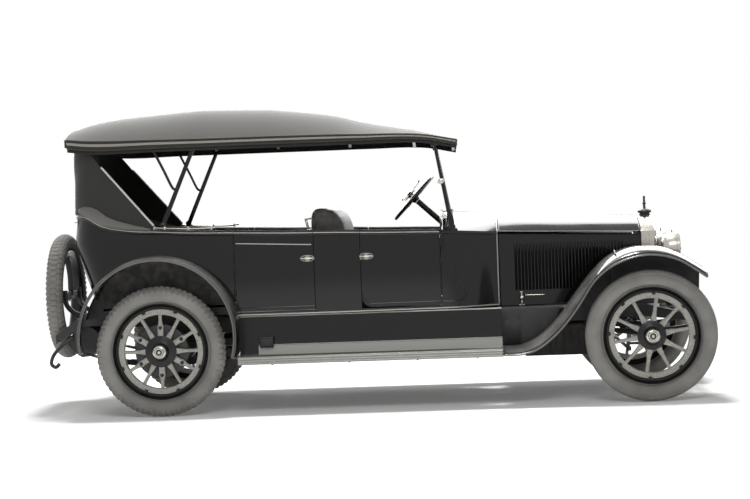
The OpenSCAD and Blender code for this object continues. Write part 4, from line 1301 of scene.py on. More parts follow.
@dataclass
class Lamps:
    """Two drum headlamps on posts with a tie bar, and the tail lamp."""

    at: tuple = (2.128, 0.340, 1.053)
    radius: float = 0.125

    def build(self) -> None:
        """Drums, rims, lenses, posts and studs."""
        r = self.radius
        drum = lathe([(0, -0.075), (0.045, -0.074), (0.075, -0.066), (0.098, -0.045), (0.112, -0.015),
                      (0.118, 0.02),
                      (0.118, 0.040), (r, 0.042), (r, 0.060), (0.120, 0.066), (0.112, 0.068), (0.110, 0.060),
                      (0.108, 0.045), (0.060, -0.02), (0.02, -0.045), (0, -0.05)], 56)
        lens = lathe([(0, 0.076), (0.04, 0.0750), (0.08, 0.0705), (0.1115, 0.062), (0.1115, 0.058),
                      (0.08, 0.0665), (0.04, 0.0710), (0, 0.072)][::-1], 48)
        stud = lathe([(0, 0), (0.012, 0), (0.012, 0.006), (0.006, 0.010), (0.006, 0.016), (0.010, 0.020),
                      (0, 0.026)], 16)
        bulb = lathe([(0, -0.03), (0.006, -0.03), (0.006, -0.01), (0.011, 0.002), (0.008, 0.014), (0, 0.018)],
                     16)
        shells, lenses, posts = [], [], []
        for side in Side:
            x, y, z = self.at[0], self.at[1] * side.value, self.at[2]
            face = place((x, y, z), (1, 0, 0))
            shells += [drum.turned(face), bulb.turned(face)]
            shells.append(stud.stood((x + 0.02, y, z + 0.117)))
            shells.append(copies(bolt(0.005, 0.004),
                                 round_z(3, 0.5, 0.119)).moved((0, 0, 0.066)).turned(face))
            lenses.append(lens.turned(face))
            foot = (x, y * 0.90, 0.64)
            posts.append(sweep(bent([foot, (x, y * 0.95, 0.80), (x, y, z - 0.118)], 8),
                               ring_profile(0.014, 12), ref=(1, 0, 0), scale=np.linspace(1.25, 0.9, 17)))
            posts.append(lathe([(0, 0), (0.035, 0), (0.035, 0.01), (0.02, 0.016), (0, 0.016)],
                               20).stood((x, y, z - 0.127)))
        y = self.at[1]
        posts.append(tube([(self.at[0], -y * 0.97, 0.86), (self.at[0], y * 0.97, 0.86)], 0.011, 12))
        piece("headlamp_drums", shells, [NICKEL], CAR, ["lamps"], sharp=35)
        piece("headlamp_lenses", lenses, [GLASS], CAR)
        piece("lamp_posts", posts, [BLACK], CAR)
        tail = lathe([(0, 0.060), (0.035, 0.060), (0.046, 0.052), (0.050, 0.040), (0.050, 0.006),
                      (0.044, 0.0),
                      (0.040, 0.004), (0.0, 0.006)], 36).stood((-2.230, 0.5, 0.88), (1, 0, 0))
        red = lathe([(0, 0.009), (0.041, 0.007), (0.041, 0.0035), (0, 0.0035)][::-1], 28,
                    1).stood((-2.2305, 0.5, 0.88), (1, 0, 0))
        arm = tube(bent([(-2.19, 0.5, 0.83), (-2.17, 0.50, 0.76), (-2.13, 0.49, 0.72)], 6), 0.010, 10, 2)
        piece("tail_lamp", [tail, red, arm], [NICKEL, Finish("ruby_lens", "#5a0f0e", 0.15), BLACK], CAR)


@dataclass
class Fenders:
    """Front and rear fenders with rolled edges, their aprons and stays."""

    # front rows: x, height of the crown, height of the outer edge
    front: tuple = (
        (0.905, 0.412, 0.372), (1.035, 0.420, 0.374), (1.135, 0.462, 0.404), (1.235, 0.540, 0.474),
        (1.335, 0.650, 0.572), (1.435, 0.782, 0.702), (1.535, 0.905, 0.852), (1.635, 1.005, 0.942),
        (1.735, 1.062, 0.994), (1.835, 1.088, 1.024), (1.935, 1.092, 1.034), (2.035, 1.079, 1.022),
        (2.135, 1.043, 0.988), (2.235, 0.984, 0.926), (2.320, 0.926, 0.866))
    inner: float = 0.470
    crown_y: float = 0.640
    outer: float = 0.858
    rear_inner: float = 0.655
    rear_crown: float = 0.735

    def front_form(self) -> list[Form]:
        """Front fender: each row runs level to the crown, then a quarter ellipse to the edge."""
        x = np.linspace(0.905, 2.320, 90)
        crown, edge = smooth(x, self.front, 1)[:, None], smooth(x, self.front, 2)[:, None]
        flat = np.linspace(self.inner, self.crown_y, 6)[None, :-1]
        a = np.linspace(0, math.pi / 2, 14)[None, :]
        flat_z = crown - 0.010 * ((self.crown_y - flat) / 0.17) ** 2
        fall_y = self.crown_y + (self.outer - self.crown_y) * np.sin(a)
        y = np.concatenate([np.repeat(flat, 90, 0), np.repeat(fall_y, 90, 0)], 1)
        z = np.concatenate([flat_z, edge + (crown - edge) * np.cos(a)], 1)
        rows = xyz(x[:, None], -y, z)
        forms = [shell(rows - [0, 0, 0.003], rows)]
        # finish 1 beads are grey: a painted highlight along the rolled edge
        forms.append(sweep(rows[:, -1] + [0, 0.001, -0.003], ring_profile(0.0068, 10), finish=1))
        second = rows[:, -3] + [0, -0.001, 0.0015]
        forms.append(sweep(second, ring_profile(0.0032, 6)))
        forms.append(sweep(rows[-1] + [0.0005, 0, -0.002], ring_profile(0.0065, 8), ref=(1, 0, 0), finish=1))
        forms += self.apron(x, rows[:, 0])
        return forms

    def apron(self, x: np.ndarray, top: np.ndarray) -> list[Form]:
        """Splash aprons from the fender's inner edge down to the frame, and beside the hood's foot."""
        k = x > 1.36
        s = np.linspace(0, 1, 8)[None, :]
        x, top = x[k], top[k]
        low_y, low_z = -0.392, 0.664
        bend_z = np.maximum(top[:, 2] - 0.05, low_z + 0.01)[:, None]
        bend_y = -0.452
        y = np.where(s < 0.3, top[:, 1:2] + (bend_y - top[:, 1:2]) * s / 0.3,
                     bend_y + (low_y - bend_y) * (s - 0.3) / 0.7)
        z = np.where(s < 0.3, top[:, 2:] + (bend_z - top[:, 2:]) * s / 0.3,
                     bend_z + (low_z - bend_z) * (s - 0.3) / 0.7)
        rows = xyz(x[:, None], y, z)
        inner = shell(rows, rows + [0, 0.003, 0.001], 2)
        fx = np.linspace(0.885, 1.40, 30)
        hood = -LINES.half(fx) + 0.012
        edge_z = smooth(fx, self.front, 1) - 0.004
        edge_y = np.full(30, -0.476)
        ledge = np.stack([
            xyz(fx, hood, 0.681), xyz(fx, np.minimum(hood - 0.02, edge_y - 0.05), 0.679),
            xyz(fx, edge_y - 0.055, np.maximum(0.665, edge_z)), xyz(fx, edge_y - 0.045, edge_z)], axis=1)
        outer = shell(ledge - [0, -0.002, 0.003], ledge, 2)
        return [inner, outer]

    def rear_form(self) -> list[Form]:
        """Rear fender: an arc about the arch, level to the crown, then a quarter ellipse to the edge."""
        cx, cz, _ = LINES.arch
        a = np.radians(np.linspace(-16, 190, 110))[:, None]
        flat = np.linspace(self.rear_inner, self.rear_crown, 5)[None, :-1]
        b = np.linspace(0, math.pi / 2, 14)[None, :]
        y = np.concatenate([flat, self.rear_crown + (self.outer - self.rear_crown) * np.sin(b)], 1)
        r = np.concatenate([np.full_like(flat, 0.577), 0.547 + 0.030 * np.cos(b)], 1)
        rows = xyz(cx + r * np.cos(a), -y, cz + r * np.sin(a))
        inset = rows + (np.array([cx, 0, cz]) - rows) * [1, 0, 1] * 0.006
        forms = [shell(rows, inset)]
        # finish 1 beads are grey: a painted highlight along the rolled edge
        forms.append(sweep(rows[:, -1] + [0, 0.001, 0], ring_profile(0.0068, 10), ref=(0, 1, 0), finish=1))
        out = (rows[:, -4] - [cx, 0, cz]) * [1, 0, 1]
        forms.append(sweep(rows[:, -4] + out * 0.002, ring_profile(0.0042, 8), ref=(0, 1, 0), finish=1))
        for e in (0, -1):
            forms.append(sweep(rows[e], ring_profile(0.006, 8), ref=(0, 0, 1) if e else (0.3, 0, 1),
                               finish=1))
        return forms

    def build(self) -> None:
        """Both sides in two pieces, with stays and bolts."""
        bolts = [(x, -0.475 - 0.052, 0.60) for x in (0.93, 1.02)]
        stay = bent([(1.70, -0.36, 0.60), (1.70, -0.50, 0.90), (1.70, -0.66, 1.046), (1.70, -0.78, 1.03)], 6)
        front = self.front_form() + [sweep(stay, bar_profile(0.03, 0.008), ref=(1, 0, 0), finish=2)]
        joint = [(0.915, -0.845 + 0.06 * i, 0.3855 + 0.0245 * min(i, 1)) for i in range(5)]
        front.append(bolts_at(joint, UP, 0.006, 0.005, 2))
        front.append(bolts_at(bolts, (0, -1, 0), 0.007, 0.005, 2))
        front.append(rounded_box((0.898, -0.862, 0.366), (0.912, -0.60, 0.414), 0.003, 2))
        both = [f.on(side) for side in Side for f in front]
        piece("front_fender_panels", both, [FENDER, BEAD_HIGHLIGHT, UNDER], CAR, ["fenders"])
        rear = [f.on(side) for side in Side for f in self.rear_form()]
        piece("rear_fender_panels", rear, [FENDER, BEAD_HIGHLIGHT], CAR)


@dataclass
class Boards:
    """Running boards with ribbed aluminium edges, kick plates, the enamelled aprons and their irons."""

    rear: float = -0.960
    front: float = 0.900
    top: float = 0.410

    def build(self) -> None:
        """Boards on both sides, and what holds them."""
        x0, x1, z = self.rear, self.front, self.top
        deck = [rounded_box((x0, -0.838, z - 0.024), (x1, -0.640, z - 0.004), 0.003, 1)]
        ribs = np.arange(-0.822, -0.655, 0.011)
        m = np.tile(np.eye(4), (len(ribs), 1, 1))
        m[:, 1, 3] = ribs
        deck.append(copies(rounded_box((x0 + 0.01, -0.003, z - 0.006), (x1 - 0.01, 0.003, z - 0.001), 0.0018,
                                       1), m))
        deck.append(rounded_box((x0, -0.840, z - 0.054), (x1, -0.833, z + 0.001), 0.003))
        for drop in (0.010, 0.026, 0.042):
            deck.append(tube([(x0 + 0.004, -0.8415, z - drop), (x1 - 0.004, -0.8415, z - drop)], 0.0045, 8))
        for y in (-0.829, -0.648):
            deck.append(rounded_box((x0, y - 0.006, z - 0.006), (x1, y + 0.006, z + 0.001), 0.002))
        s = np.linspace(0, 1, 12)[None, :]
        xs = np.linspace(x0, x1, 30)[:, None]
        y = -0.640 + 0.034 * np.sin(s * math.pi / 2) + 0.006 * s
        rise = z - 0.006 + 0.278 * s
        apron = xyz(xs, y, rise)
        deck.append(shell(apron + [0, 0.003, 0], apron, 2))
        up = np.linspace(0, 1, 5)[None, :]
        kick = xyz(xs[2:], -0.6435 + 0.0115 * up, z + 0.066 * up)
        deck.append(shell(kick + [0, 0.002, 0], kick, 0))
        deck.append(tube([(float(xs[2, 0]), -0.6325, z + 0.067), (x1, -0.6325, z + 0.067)], 0.0035, 8))
        bead = xyz(xs[:, 0], -0.6015, 0.681)
        # apron bead in light paint: coach line and painted highlight together
        deck.append(sweep(bead, ring_profile(0.0045, 8), finish=3))
        step_x = np.arange(x0 + 0.06, x1, 0.15)
        deck.append(bolts_at([(x, -0.8465, z - 0.034) for x in step_x], (0, -1, 0), 0.004, 0.003, 0))
        box = rounded_box((-0.820, -0.668, 0.462), (-0.724, -0.622, 0.532), 0.006, 4)
        deck += [box, rounded_box((-0.826, -0.671, 0.524), (-0.718, -0.620, 0.538), 0.005, 4)]
        irons = []
        for x in (-0.72, -0.18, 0.30, 0.72):
            irons.append(sweep(bent([(x, -0.40, 0.60), (x, -0.50, 0.47), (x, -0.62, 0.378),
                                     (x, -0.82, 0.374)], 6),
                               bar_profile(0.05, 0.012), ref=(1, 0, 0), finish=4))
            irons.append(bolts_at([(x, -0.80, 0.368), (x, -0.70, 0.368)], (0, 0, -1), 0.009, 0.010, 4))
        both = [f.on(side) for side in Side for f in (*deck, *irons)]
        piece("running_board_treads", both, [BRIGHT, MAT, APRON, STRIPE_AND_HIGHLIGHT, UNDER], CAR,
              ["running_boards"], sharp=40)


# ---------------------------------------------------------------- wheels


class Tread(Enum):
    """The two tread patterns: ribs on the front tyres, staggered blocks on the rear ones and the spare."""

    RIBS = "ribs"
    BLOCKS = "blocks"


@dataclass
class Tyre:
    """A straight-side cord tyre on a 26 inch rim."""

    centre_r: float = 0.400
    section: float = 0.0655
    bead_r: float = 0.338
    pitches: int = 68

    def form(self, tread: Tread) -> Form:
        """Carcass ring about z, out from bead to crown to bead, with the tread raised on its crown."""
        steps = 52 if tread is Tread.BLOCKS else 60
        open_a = math.radians(152)
        phi = np.linspace(-open_a, open_a, steps)[None, :]
        count = self.pitches * 10 if tread is Tread.BLOCKS else 160
        theta = np.arange(count)[:, None] * 2 * math.pi / count
        v = phi / math.radians(62)
        if tread is Tread.BLOCKS:
            u = theta * self.pitches / (2 * math.pi)
            middle = self.plateau(u + 0.5, 0.32) * np.clip((0.40 - np.abs(v)) / 0.06, 0, 1)
            rising = np.clip((np.abs(v) - 0.46) / 0.06, 0, 1)
            shoulder = self.plateau(u, 0.30) * rising * np.clip((1.18 - np.abs(v)) / 0.08, 0, 1)
            lift = 0.0065 * np.maximum(middle, shoulder)
        else:
            groove = np.clip(np.cos(v * math.pi * 4.5) * 2.2 + 0.9, 0, 1)
            lift = 0.0055 * groove * np.clip((0.9 - np.abs(v)) / 0.12, 0, 1) + 0 * theta
        r = self.section - 0.0065 + lift
        for angle, spread in ((1.75, 0.035), (2.15, 0.03)):
            r = r + 0.0012 * np.exp(-((np.abs(phi) - angle) / spread) ** 2)
        out = self.centre_r + r * np.cos(phi) * 0.965
        flat = xyz(out * np.cos(theta), out * np.sin(theta), -r * np.sin(phi))
        heel = np.array([[self.bead_r, -0.034], [self.bead_r, 0.034]])
        inner = xyz(heel[:, 0] * np.cos(theta), heel[:, 0] * np.sin(theta), heel[:, 1])
        return grid(np.concatenate([flat, inner], axis=1), wrap_rows=True, wrap_columns=True)

    @staticmethod
    def plateau(u: np.ndarray, half: float) -> np.ndarray:
        """1 within half a pitch's share of each whole number, falling to 0 over a tenth of a pitch."""
        away = np.abs(u - np.round(u))
        return np.clip((half - away) / 0.08 + 0.5, 0, 1)


@dataclass
class Wheel:
    """A wooden artillery wheel, its z axis pointing out from the car."""

    spokes: int
    first: float
    flange_r: float
    lugs_from: float
    drum: bool = False
    flange_bolts: int = 10

    def spoke(self, spade: bool) -> Form:
        """One spoke along x: a superellipse section, square at the hub and oval at the waist."""
        r = np.array([0.062, 0.085, 0.105, 0.125, 0.145, 0.158, 0.170, 0.182, 0.200, 0.225, 0.250, 0.266])
        wide = np.array([0.021, 0.022, 0.0215, 0.019, 0.016, 0.0145, 0.0138, 0.0132, 0.0128, 0.0124, 0.0130,
                         0.0145])
        if self.drum:
            wide[:2] = 0.0175, 0.0190
        if spade:
            wide = np.array([0.0175, 0.021, 0.0215, 0.021, 0.021, 0.0225, 0.0235, 0.021, 0.0150, 0.0122,
                             0.0128, 0.0145])
        deep = np.interp(r, [0.06, 0.11, 0.2, 0.266], [0.018, 0.018, 0.0145, 0.0155])
        power = np.interp(r, [0.06, 0.12, 0.17], [6, 5, 2.3])[:, None]
        t = np.linspace(0, 2 * math.pi, 16, endpoint=False)[None, :]
        c, s = np.cos(t), np.sin(t)
        k = (np.abs(c) ** power + np.abs(s) ** power) ** (-1 / power)
        rings = xyz(r[:, None], wide[:, None] * c * k, deep[:, None] * s * k)
        ends = [np.tile([[[r[i], 0, 0]]], (1, 16, 1)) for i in (0, -1)]
        return grid(np.concatenate([ends[0], rings, ends[1]]), wrap_columns=True)

    def forms(self) -> list[Form]:
        """All of the wheel but its tyre: 0 paint, 1 black, 2 nickel, 3 iron."""
        turns = round_z(self.spokes, math.radians(self.first))
        plain, spade = turns, turns[:0]
        if self.drum:
            plain, spade = turns[::2], turns[1::2]
        forms = [copies(self.spoke(False), plain)]
        if len(spade):
            forms.append(copies(self.spoke(True), spade))
            forms.append(copies(bolt(0.0085, 0.010, 3).moved((0.168, 0, 0.015)), spade))
            forms.append(copies(lathe([(0, 0), (0.014, 0), (0.013, 0.003), (0, 0.003)], 16,
                                      1).moved((0.168, 0, 0.0135)), spade))
        forms.append(lathe([(0.262, -0.022), (0.266, -0.026), (0.302, -0.026), (0.302, 0.026), (0.266, 0.026),
                            (0.262, 0.022), (0.260, 0.0)], 96, loop=True))
        rim = [(0.301, -0.030), (0.312, -0.036), (0.330, -0.040), (0.338, -0.048), (0.341, -0.044),
               (0.338, -0.030),
               (0.338, 0.030), (0.341, 0.044), (0.3375, 0.048), (0.3325, 0.0445), (0.3305, 0.038),
               (0.326, 0.040),
               (0.3225, 0.0445), (0.3185, 0.040), (0.316, 0.034), (0.3075, 0.0335), (0.3045, 0.036),
               (0.301, 0.030)]
        forms.append(lathe(rim, 96, 1, loop=True))
        lug = rounded_box((0.288, -0.013, 0.024), (0.314, 0.013, 0.040), 0.004, 1)
        nut = bolt(0.0085, 0.012, 1).moved((0.297, 0, 0.039))
        around = round_z(8, math.radians(self.lugs_from))
        forms += [copies(lug, around), copies(nut, around)]
        f = self.flange_r
        forms.append(lathe([(0.050, 0.028), (0.060, 0.040), (0.066, 0.036), (0.072, 0.032),
                            (f - 0.008, 0.029), (f, 0.025), (f, 0.014), (0.06, 0.014)][::-1], 64, 1))
        forms.append(copies(bolt(0.0062, 0.006, 3).moved((f - 0.017, 0, 0.0285)),
                            round_z(self.flange_bolts, 0.2)))
        forms.append(lathe([(0.0, 0.112), (0.010, 0.112), (0.013, 0.108), (0.020, 0.107), (0.023, 0.111),
                            (0.030, 0.111),
                            (0.034, 0.104), (0.044, 0.100), (0.051, 0.090), (0.052, 0.074), (0.049, 0.068),
                            (0.052, 0.062), (0.052, 0.052), (0.056, 0.046), (0.058, 0.036),
                            (0.058, 0.028)][::-1], 56, 2))
        forms.append(lathe([(0.0, 0.1085), (0.0195, 0.1080), (0.0195, 0.1060), (0, 0.1060)][::-1], 24, 1))
        forms.append(lathe([(0.026, -0.050), (0.066, -0.050), (0.070, -0.030), (0.070, 0.02), (0.026, 0.02)],
                           48, 1))
        if self.drum:
            forms.append(lathe([(0.026, -0.088), (0.176, -0.090), (0.184, -0.092), (0.190, -0.089),
                                (0.190, -0.072),
                                (0.186, -0.068), (0.186, -0.034), (0.190, -0.030), (0.190, -0.018),
                                (0.184, -0.0155), (0.060, -0.0155), (0.026, -0.030)], 72, 3))
        else:
            forms.append(lathe([(0.060, -0.050), (0.085, -0.050), (0.085, -0.030), (f, -0.026), (f, -0.018),
                                (0.060, -0.018)], 48, 1, loop=True))
        valve = tube([(0.300, 0.0, -0.012), (0.282, 0.0, 0.014), (0.270, 0.0, 0.030)], 0.004, 8, 2)
        spin = round_z(1, math.radians(self.first + 180 / self.spokes))[0]
        forms.append(valve.turned(spin))
        return forms


@dataclass
class RoadWheels:
    """The four road wheels and their tyres, each on its own body."""

    track: float = 1.436
    axle_z: float = 0.463
    front_x: float = 1.939
    rear_x: float = -1.515

    def build(self) -> None:
        """Wheels and tyres on both sides of both axles."""
        ends = (("front", self.front_x, Wheel(10, 9.0, 0.101, -4.0), Tread.RIBS),
                ("rear", self.rear_x, Wheel(12, 0.0, 0.111, 22.5, True), Tread.BLOCKS))
        for end, x, wheel, tread in ends:
            hung = np.eye(4)
            hung[:3, :3] = [[1, 0, 0], [0, 0, -1], [0, 1, 0]]
            hung[:3, 3] = (x, -self.track / 2, self.axle_z)
            rim = [f.turned(hung) for f in wheel.forms()]
            casing = Tyre().form(tread).turned(hung)
            for side in Side:
                body = f"wheel_{end}_{side.word}"
                piece(f"{body}_spokes", [f.on(side) for f in rim], [SPOKE, RIM, NICKEL, UNDER], body,
                      [body], sharp=38)
                tyre = f"tyre_{end}_{side.word}"
                piece(f"{tyre}_casing", [casing.on(side)], [TYRE], body, [tyre], sharp=50)


@dataclass
class Spare:
    """Spare tyre on its rim at the back, with its carrier irons and straps."""

    x: float = -2.337
    z: float = 0.846

    def build(self) -> None:
        """Tyre, rim, carrier."""
        stand = place((self.x, 0, self.z), (-1, 0, 0))
        piece("spare_tyre_casing", [Tyre().form(Tread.BLOCKS).turned(stand)], [TYRE], CAR,
              ["spare_tyre"], sharp=50)
        rim = lathe([(0.301, -0.030), (0.312, -0.036), (0.330, -0.040), (0.338, -0.048), (0.341, -0.044),
                     (0.338, -0.030),
                     (0.338, 0.030), (0.341, 0.044), (0.3375, 0.048), (0.326, 0.040), (0.316, 0.034),
                     (0.301, 0.030)], 96, 1, loop=True).turned(stand)
        forms = [rim]
        arm = bent([(self.x + 0.03, -0.30, self.z), (self.x + 0.035, 0, self.z + 0.004),
                    (self.x + 0.03, 0.30, self.z)], 8)
        forms.append(sweep(arm, bar_profile(0.058, 0.012), ref=(1, 0, 0)))
        for side in Side:
            leg = bent([(self.x + 0.04, -0.235, self.z + 0.05), (self.x + 0.05, -0.235, self.z - 0.06),
                        (self.x + 0.13, -0.235, self.z - 0.13), (self.x + 0.25, -0.235, 0.708)], 8)
            forms.append(sweep(leg, bar_profile(0.034, 0.020), ref=(0, 1, 0)).on(side))
            forms.append(rounded_box((self.x + 0.012, -0.322, self.z - 0.03),
                                     (self.x + 0.04, -0.286, self.z + 0.03), 0.004).on(side))
            forms.append(bolts_at([(self.x + 0.012, -0.305, self.z)], (-1, 0, 0), 0.011, 0.012, 2).on(side))
        lock = rounded_box((self.x - 0.02, -0.035, self.z + 0.28), (self.x + 0.03, 0.035, self.z + 0.312),
                           0.006)
        stem = sweep(bent([(self.x + 0.03, 0, self.z), (self.x + 0.03, 0, self.z + 0.15),
                           (self.x + 0.01, 0, self.z + 0.29)], 6), bar_profile(0.04, 0.012), ref=(0, 1, 0))
        forms += [lock, stem, lathe([(0, 0), (0.045, 0), (0.045, 0.008), (0.02, 0.016), (0.014, 0.034),
                                     (0, 0.036)], 28, 2) .stood((self.x + 0.022, 0, self.z), (-1, 0, 0))]
        piece("spare_carrier_irons", forms, [UNDER, RIM, NICKEL], CAR, ["spare_carrier"],
              sharp=38)


# ---------------------------------------------------------------- top, windshield, seats


@dataclass
class FoldingTop:
    """Raised folding top: deck, valances, rear curtains, bows and side irons."""

    # stations rows: x, height of the lower edge, of the shoulder and of the crown
    stations: tuple = (
        (-2.165, 1.930, 1.985, 2.078), (-2.0, 1.908, 1.970, 2.128), (-1.515, 1.908, 1.962, 2.176),
        (-1.165, 1.908, 1.958, 2.190), (-0.715, 1.908, 1.956, 2.172), (-0.315, 1.908, 1.952, 2.122),
        (-0.065, 1.908, 1.946, 2.060), (0.385, 1.900, 1.928, 1.966), (0.625, 1.854, 1.884, 1.897))
    half: float = 0.640
    bows: tuple = (-1.245, -0.760, -0.200, 0.300)
    foot: tuple = (-1.545, 1.340)
    head: tuple = (-2.155, 2.050)

    def row(self, x: np.ndarray, inset: float = 0.0, columns: int = 56) -> np.ndarray:
        """Points over the car at each x: valance, then the superellipse crown, sagging between bows."""
        low, high, crown = (smooth(x, self.stations, k)[:, None] for k in (1, 2, 3))
        w = self.half - inset
        t = np.linspace(0, math.pi, columns)[None, :]
        y = -w * np.cos(t)
        arch = 1 - np.abs(np.cos(t)) ** 2.4
        marks = np.array([-2.165, *self.bows, 0.625])
        k = np.clip(np.searchsorted(marks, x) - 1, 0, len(marks) - 2)
        u = (x - marks[k]) / (marks[k + 1] - marks[k])
        sag = (0.0045 * np.sin(math.pi * np.clip(u, 0, 1)) ** 0.8)[:, None] * np.sin(t) ** 0.5
        z = high + (crown - high) * arch - inset - sag
        s = np.linspace(0, 1, 6)[None, :-1]
        edge = low + (high - inset - low) * s
        belly = 0.003 * np.sin(s * math.pi)
        right = xyz(x[:, None], -w - belly, edge)
        left = right[:, ::-1] * [1, -1, 1]
        over = xyz(x[:, None], y, z)
        return np.concatenate([right, over, left], axis=1)

    def deck(self) -> bpy.types.Object:
        """The deck cloth with its darker lining; then the valances."""
        x = np.unique(np.concatenate([np.linspace(-2.165, 0.625, 90), self.bows]))
        outer, inner = self.row(x), self.row(x, 0.006)
        whole = shell(inner, outer)
        cells = (len(x) - 1) * (outer.shape[1] - 1)
        faces = [Form(whole.points, whole.quads[cells:]), Form(whole.points, whole.quads[:cells], 1)]
        deck = piece("top_deck_cloth", faces, [CLOTH, LINING], CAR, ["top_deck"], sharp=50)
        self.valances()
        return deck

    def valances(self) -> bpy.types.Object:
        """Bound edges: the drip rail, the hem bands with their stitching, and the front roll."""
        x = np.linspace(-2.150, 0.620, 80)
        low, high = smooth(x, self.stations, 1), smooth(x, self.stations, 2)
        forms = []
        for frac, r, finish in ((1.0, 0.0055, 0), (0.66, 0.0032, 2), (0.36, 0.0024, 0), (0.0, 0.0058, 0)):
            z = low + (high - low) * frac
            path = xyz(x, -self.half - 0.003, z)
            forms.append(sweep(path, ring_profile(r, 8), finish=finish))
        s = np.linspace(0, 1, 5)[None, :]
        band_z = low[:, None] + (high - low)[:, None] * (0.40 + 0.24 * s)
        band = xyz(x[:, None], -self.half - 0.0045, band_z)
        forms.append(shell(band + [0, 0.001, 0], band, 2))
        inner_z = low[:, None] - 0.030 + 0.05 * s
        skirt = xyz(x[:, None], -self.half + 0.012, inner_z)
        forms.append(shell(skirt + [0, 0.003, 0], skirt, 1))
        both = joined(*[f.on(side) for side in Side for f in forms])
        front = self.row(np.array([0.622]), 0.0)[0][5:-5]
        both.append(sweep(front + [0.003, 0, -0.004], ring_profile(0.007, 10), ref=(1, 0, 0)))
        header = self.row(np.array([0.60]), 0.012)[0][8:-8] - [0, 0, 0.014]
        both.append(sweep(header, bar_profile(0.05, 0.022), ref=(1, 0, 0), finish=3))
        rear = self.row(np.array([-2.163]), 0.0)[0][5:-5]
        both.append(sweep(rear + [-0.001, 0, -0.002], ring_profile(0.005, 8), ref=(1, 0, 0), finish=2))
        return piece("top_valance_bands", both, [CLOTH, LINING, HEM, ASH], CAR, sharp=50)

    def curtains(self) -> None:
        """Rear quarters and back as one sheet cut on the slant, with a framed light, piping and roll."""
        side_x = np.linspace(self.foot[0], -1.90, 14)
        half = np.concatenate([LINES.side(side_x), LINES.rear(14)])
        ring = LINES.around(half)
        cut_y = np.array([-0.26, 0.26])
        for y in cut_y:
            k = np.argmin(np.abs(ring[:, 1] - y) + 10 * (ring[:, 2] > -0.9))
            ring[k, 1] = y
        x = ring[:, 0]
        low = LINES.belt_z(x) + 0.006
        slope = (self.head[1] - self.foot[1]) / (self.foot[0] - self.head[0])
        high = np.minimum(self.head[1] + 0 * x, self.foot[1] + 0.012 + slope * (self.foot[0] - x))
        high = np.maximum(high, low + 0.008)
        top_mid = smooth(np.array([-2.160]), self.stations, 2)[0]
        crown = smooth(np.array([-2.160]), self.stations, 3)[0]
        on_back = np.abs(ring[:, 2]) > 0.4
        roof = top_mid + (crown - top_mid) * (1 - np.abs(ring[:, 1] / self.half) ** 2.4) - 0.008
        high = np.where(on_back, np.minimum(np.maximum(high, roof), roof), high)
        rows = np.unique(np.concatenate([np.linspace(0, 1, 26), [0.0]]))
        z = low[:, None] + (high - low)[:, None] * rows[None, :]
        mid = (np.abs(ring[:, 1]) <= 0.2601) & (ring[:, 2] < -0.9)
        z[mid] = self.snap(z[mid], 1.64, 1.85)
        lean = 0.024 + 0.06 * (z - low[:, None])
        span = np.linspace(0, 1, len(ring))[:, None]
        fold = 0.0035 * np.sin(span * 46 + 3 * np.sin(z * 7)) * np.sin(rows[None, :] * math.pi)
        n = ring[:, None, 2:]
        px = ring[:, None, 0] - n[..., 0] * (lean * 0.4 + fold)
        py = ring[:, None, 1] - n[..., 1] * (lean + fold)
        points = xyz(px, py, z)
        skin = grid(points, flip=True)
        centre = skin.points[skin.quads].mean(axis=1)
        hole = (np.abs(centre[:, 1]) < 0.26) & (centre[:, 2] > 1.64) & (centre[:, 2] < 1.85) & (centre[:,
            0] < -2.0)
        cloth = piece("top_curtain_cloth", [Form(skin.points, skin.quads[~hole])], [CURTAIN, LINING], CAR,
                      ["top_curtains"], sharp=50)
        wall = cloth.modifiers.new("thickness", "SOLIDIFY")
        wall.thickness, wall.offset = 0.004, -1.0
        wall.material_offset = 1
        trim = self.curtain_trim(points, ring)

    @staticmethod
    def snap(z: np.ndarray, low: float, high: float) -> np.ndarray:
        """Moves the rows nearest two heights onto them, the same two rows at every station."""
        for level in (low, high):
            k = int(np.argmin(np.abs(z - level).mean(axis=0)))
            z[:, k] = level
        return z

    def curtain_trim(self, points: np.ndarray, ring: np.ndarray) -> bpy.types.Object:
        """Piping down the slant, roll along the belt in a light grey that is a painted highlight, the light
        in its frame, fasteners and prop posts.
        """
        forms = []
        for run in (points[:, -1], points[:, -1][::-1]):
            side = run[:15]
            slant = bent(side[::2], 4) + [0, math.copysign(0.003, side[0, 1]), 0.002]
            forms.append(sweep(slant, ring_profile(0.0075, 8), finish=2))
        x = ring[:, 0]
        back = np.interp(x, [-2.165, -2.10, -1.97, -1.85, -1.7, -1.56], [0.7, 1.15, 1.4, 0.95, 0.5, 0.05])
        keep = x < -1.555
        path = LINES.on_wall(ring[keep], LINES.belt_z(x[keep]) + 0.002 + 0.026 * back[keep], 0.006)
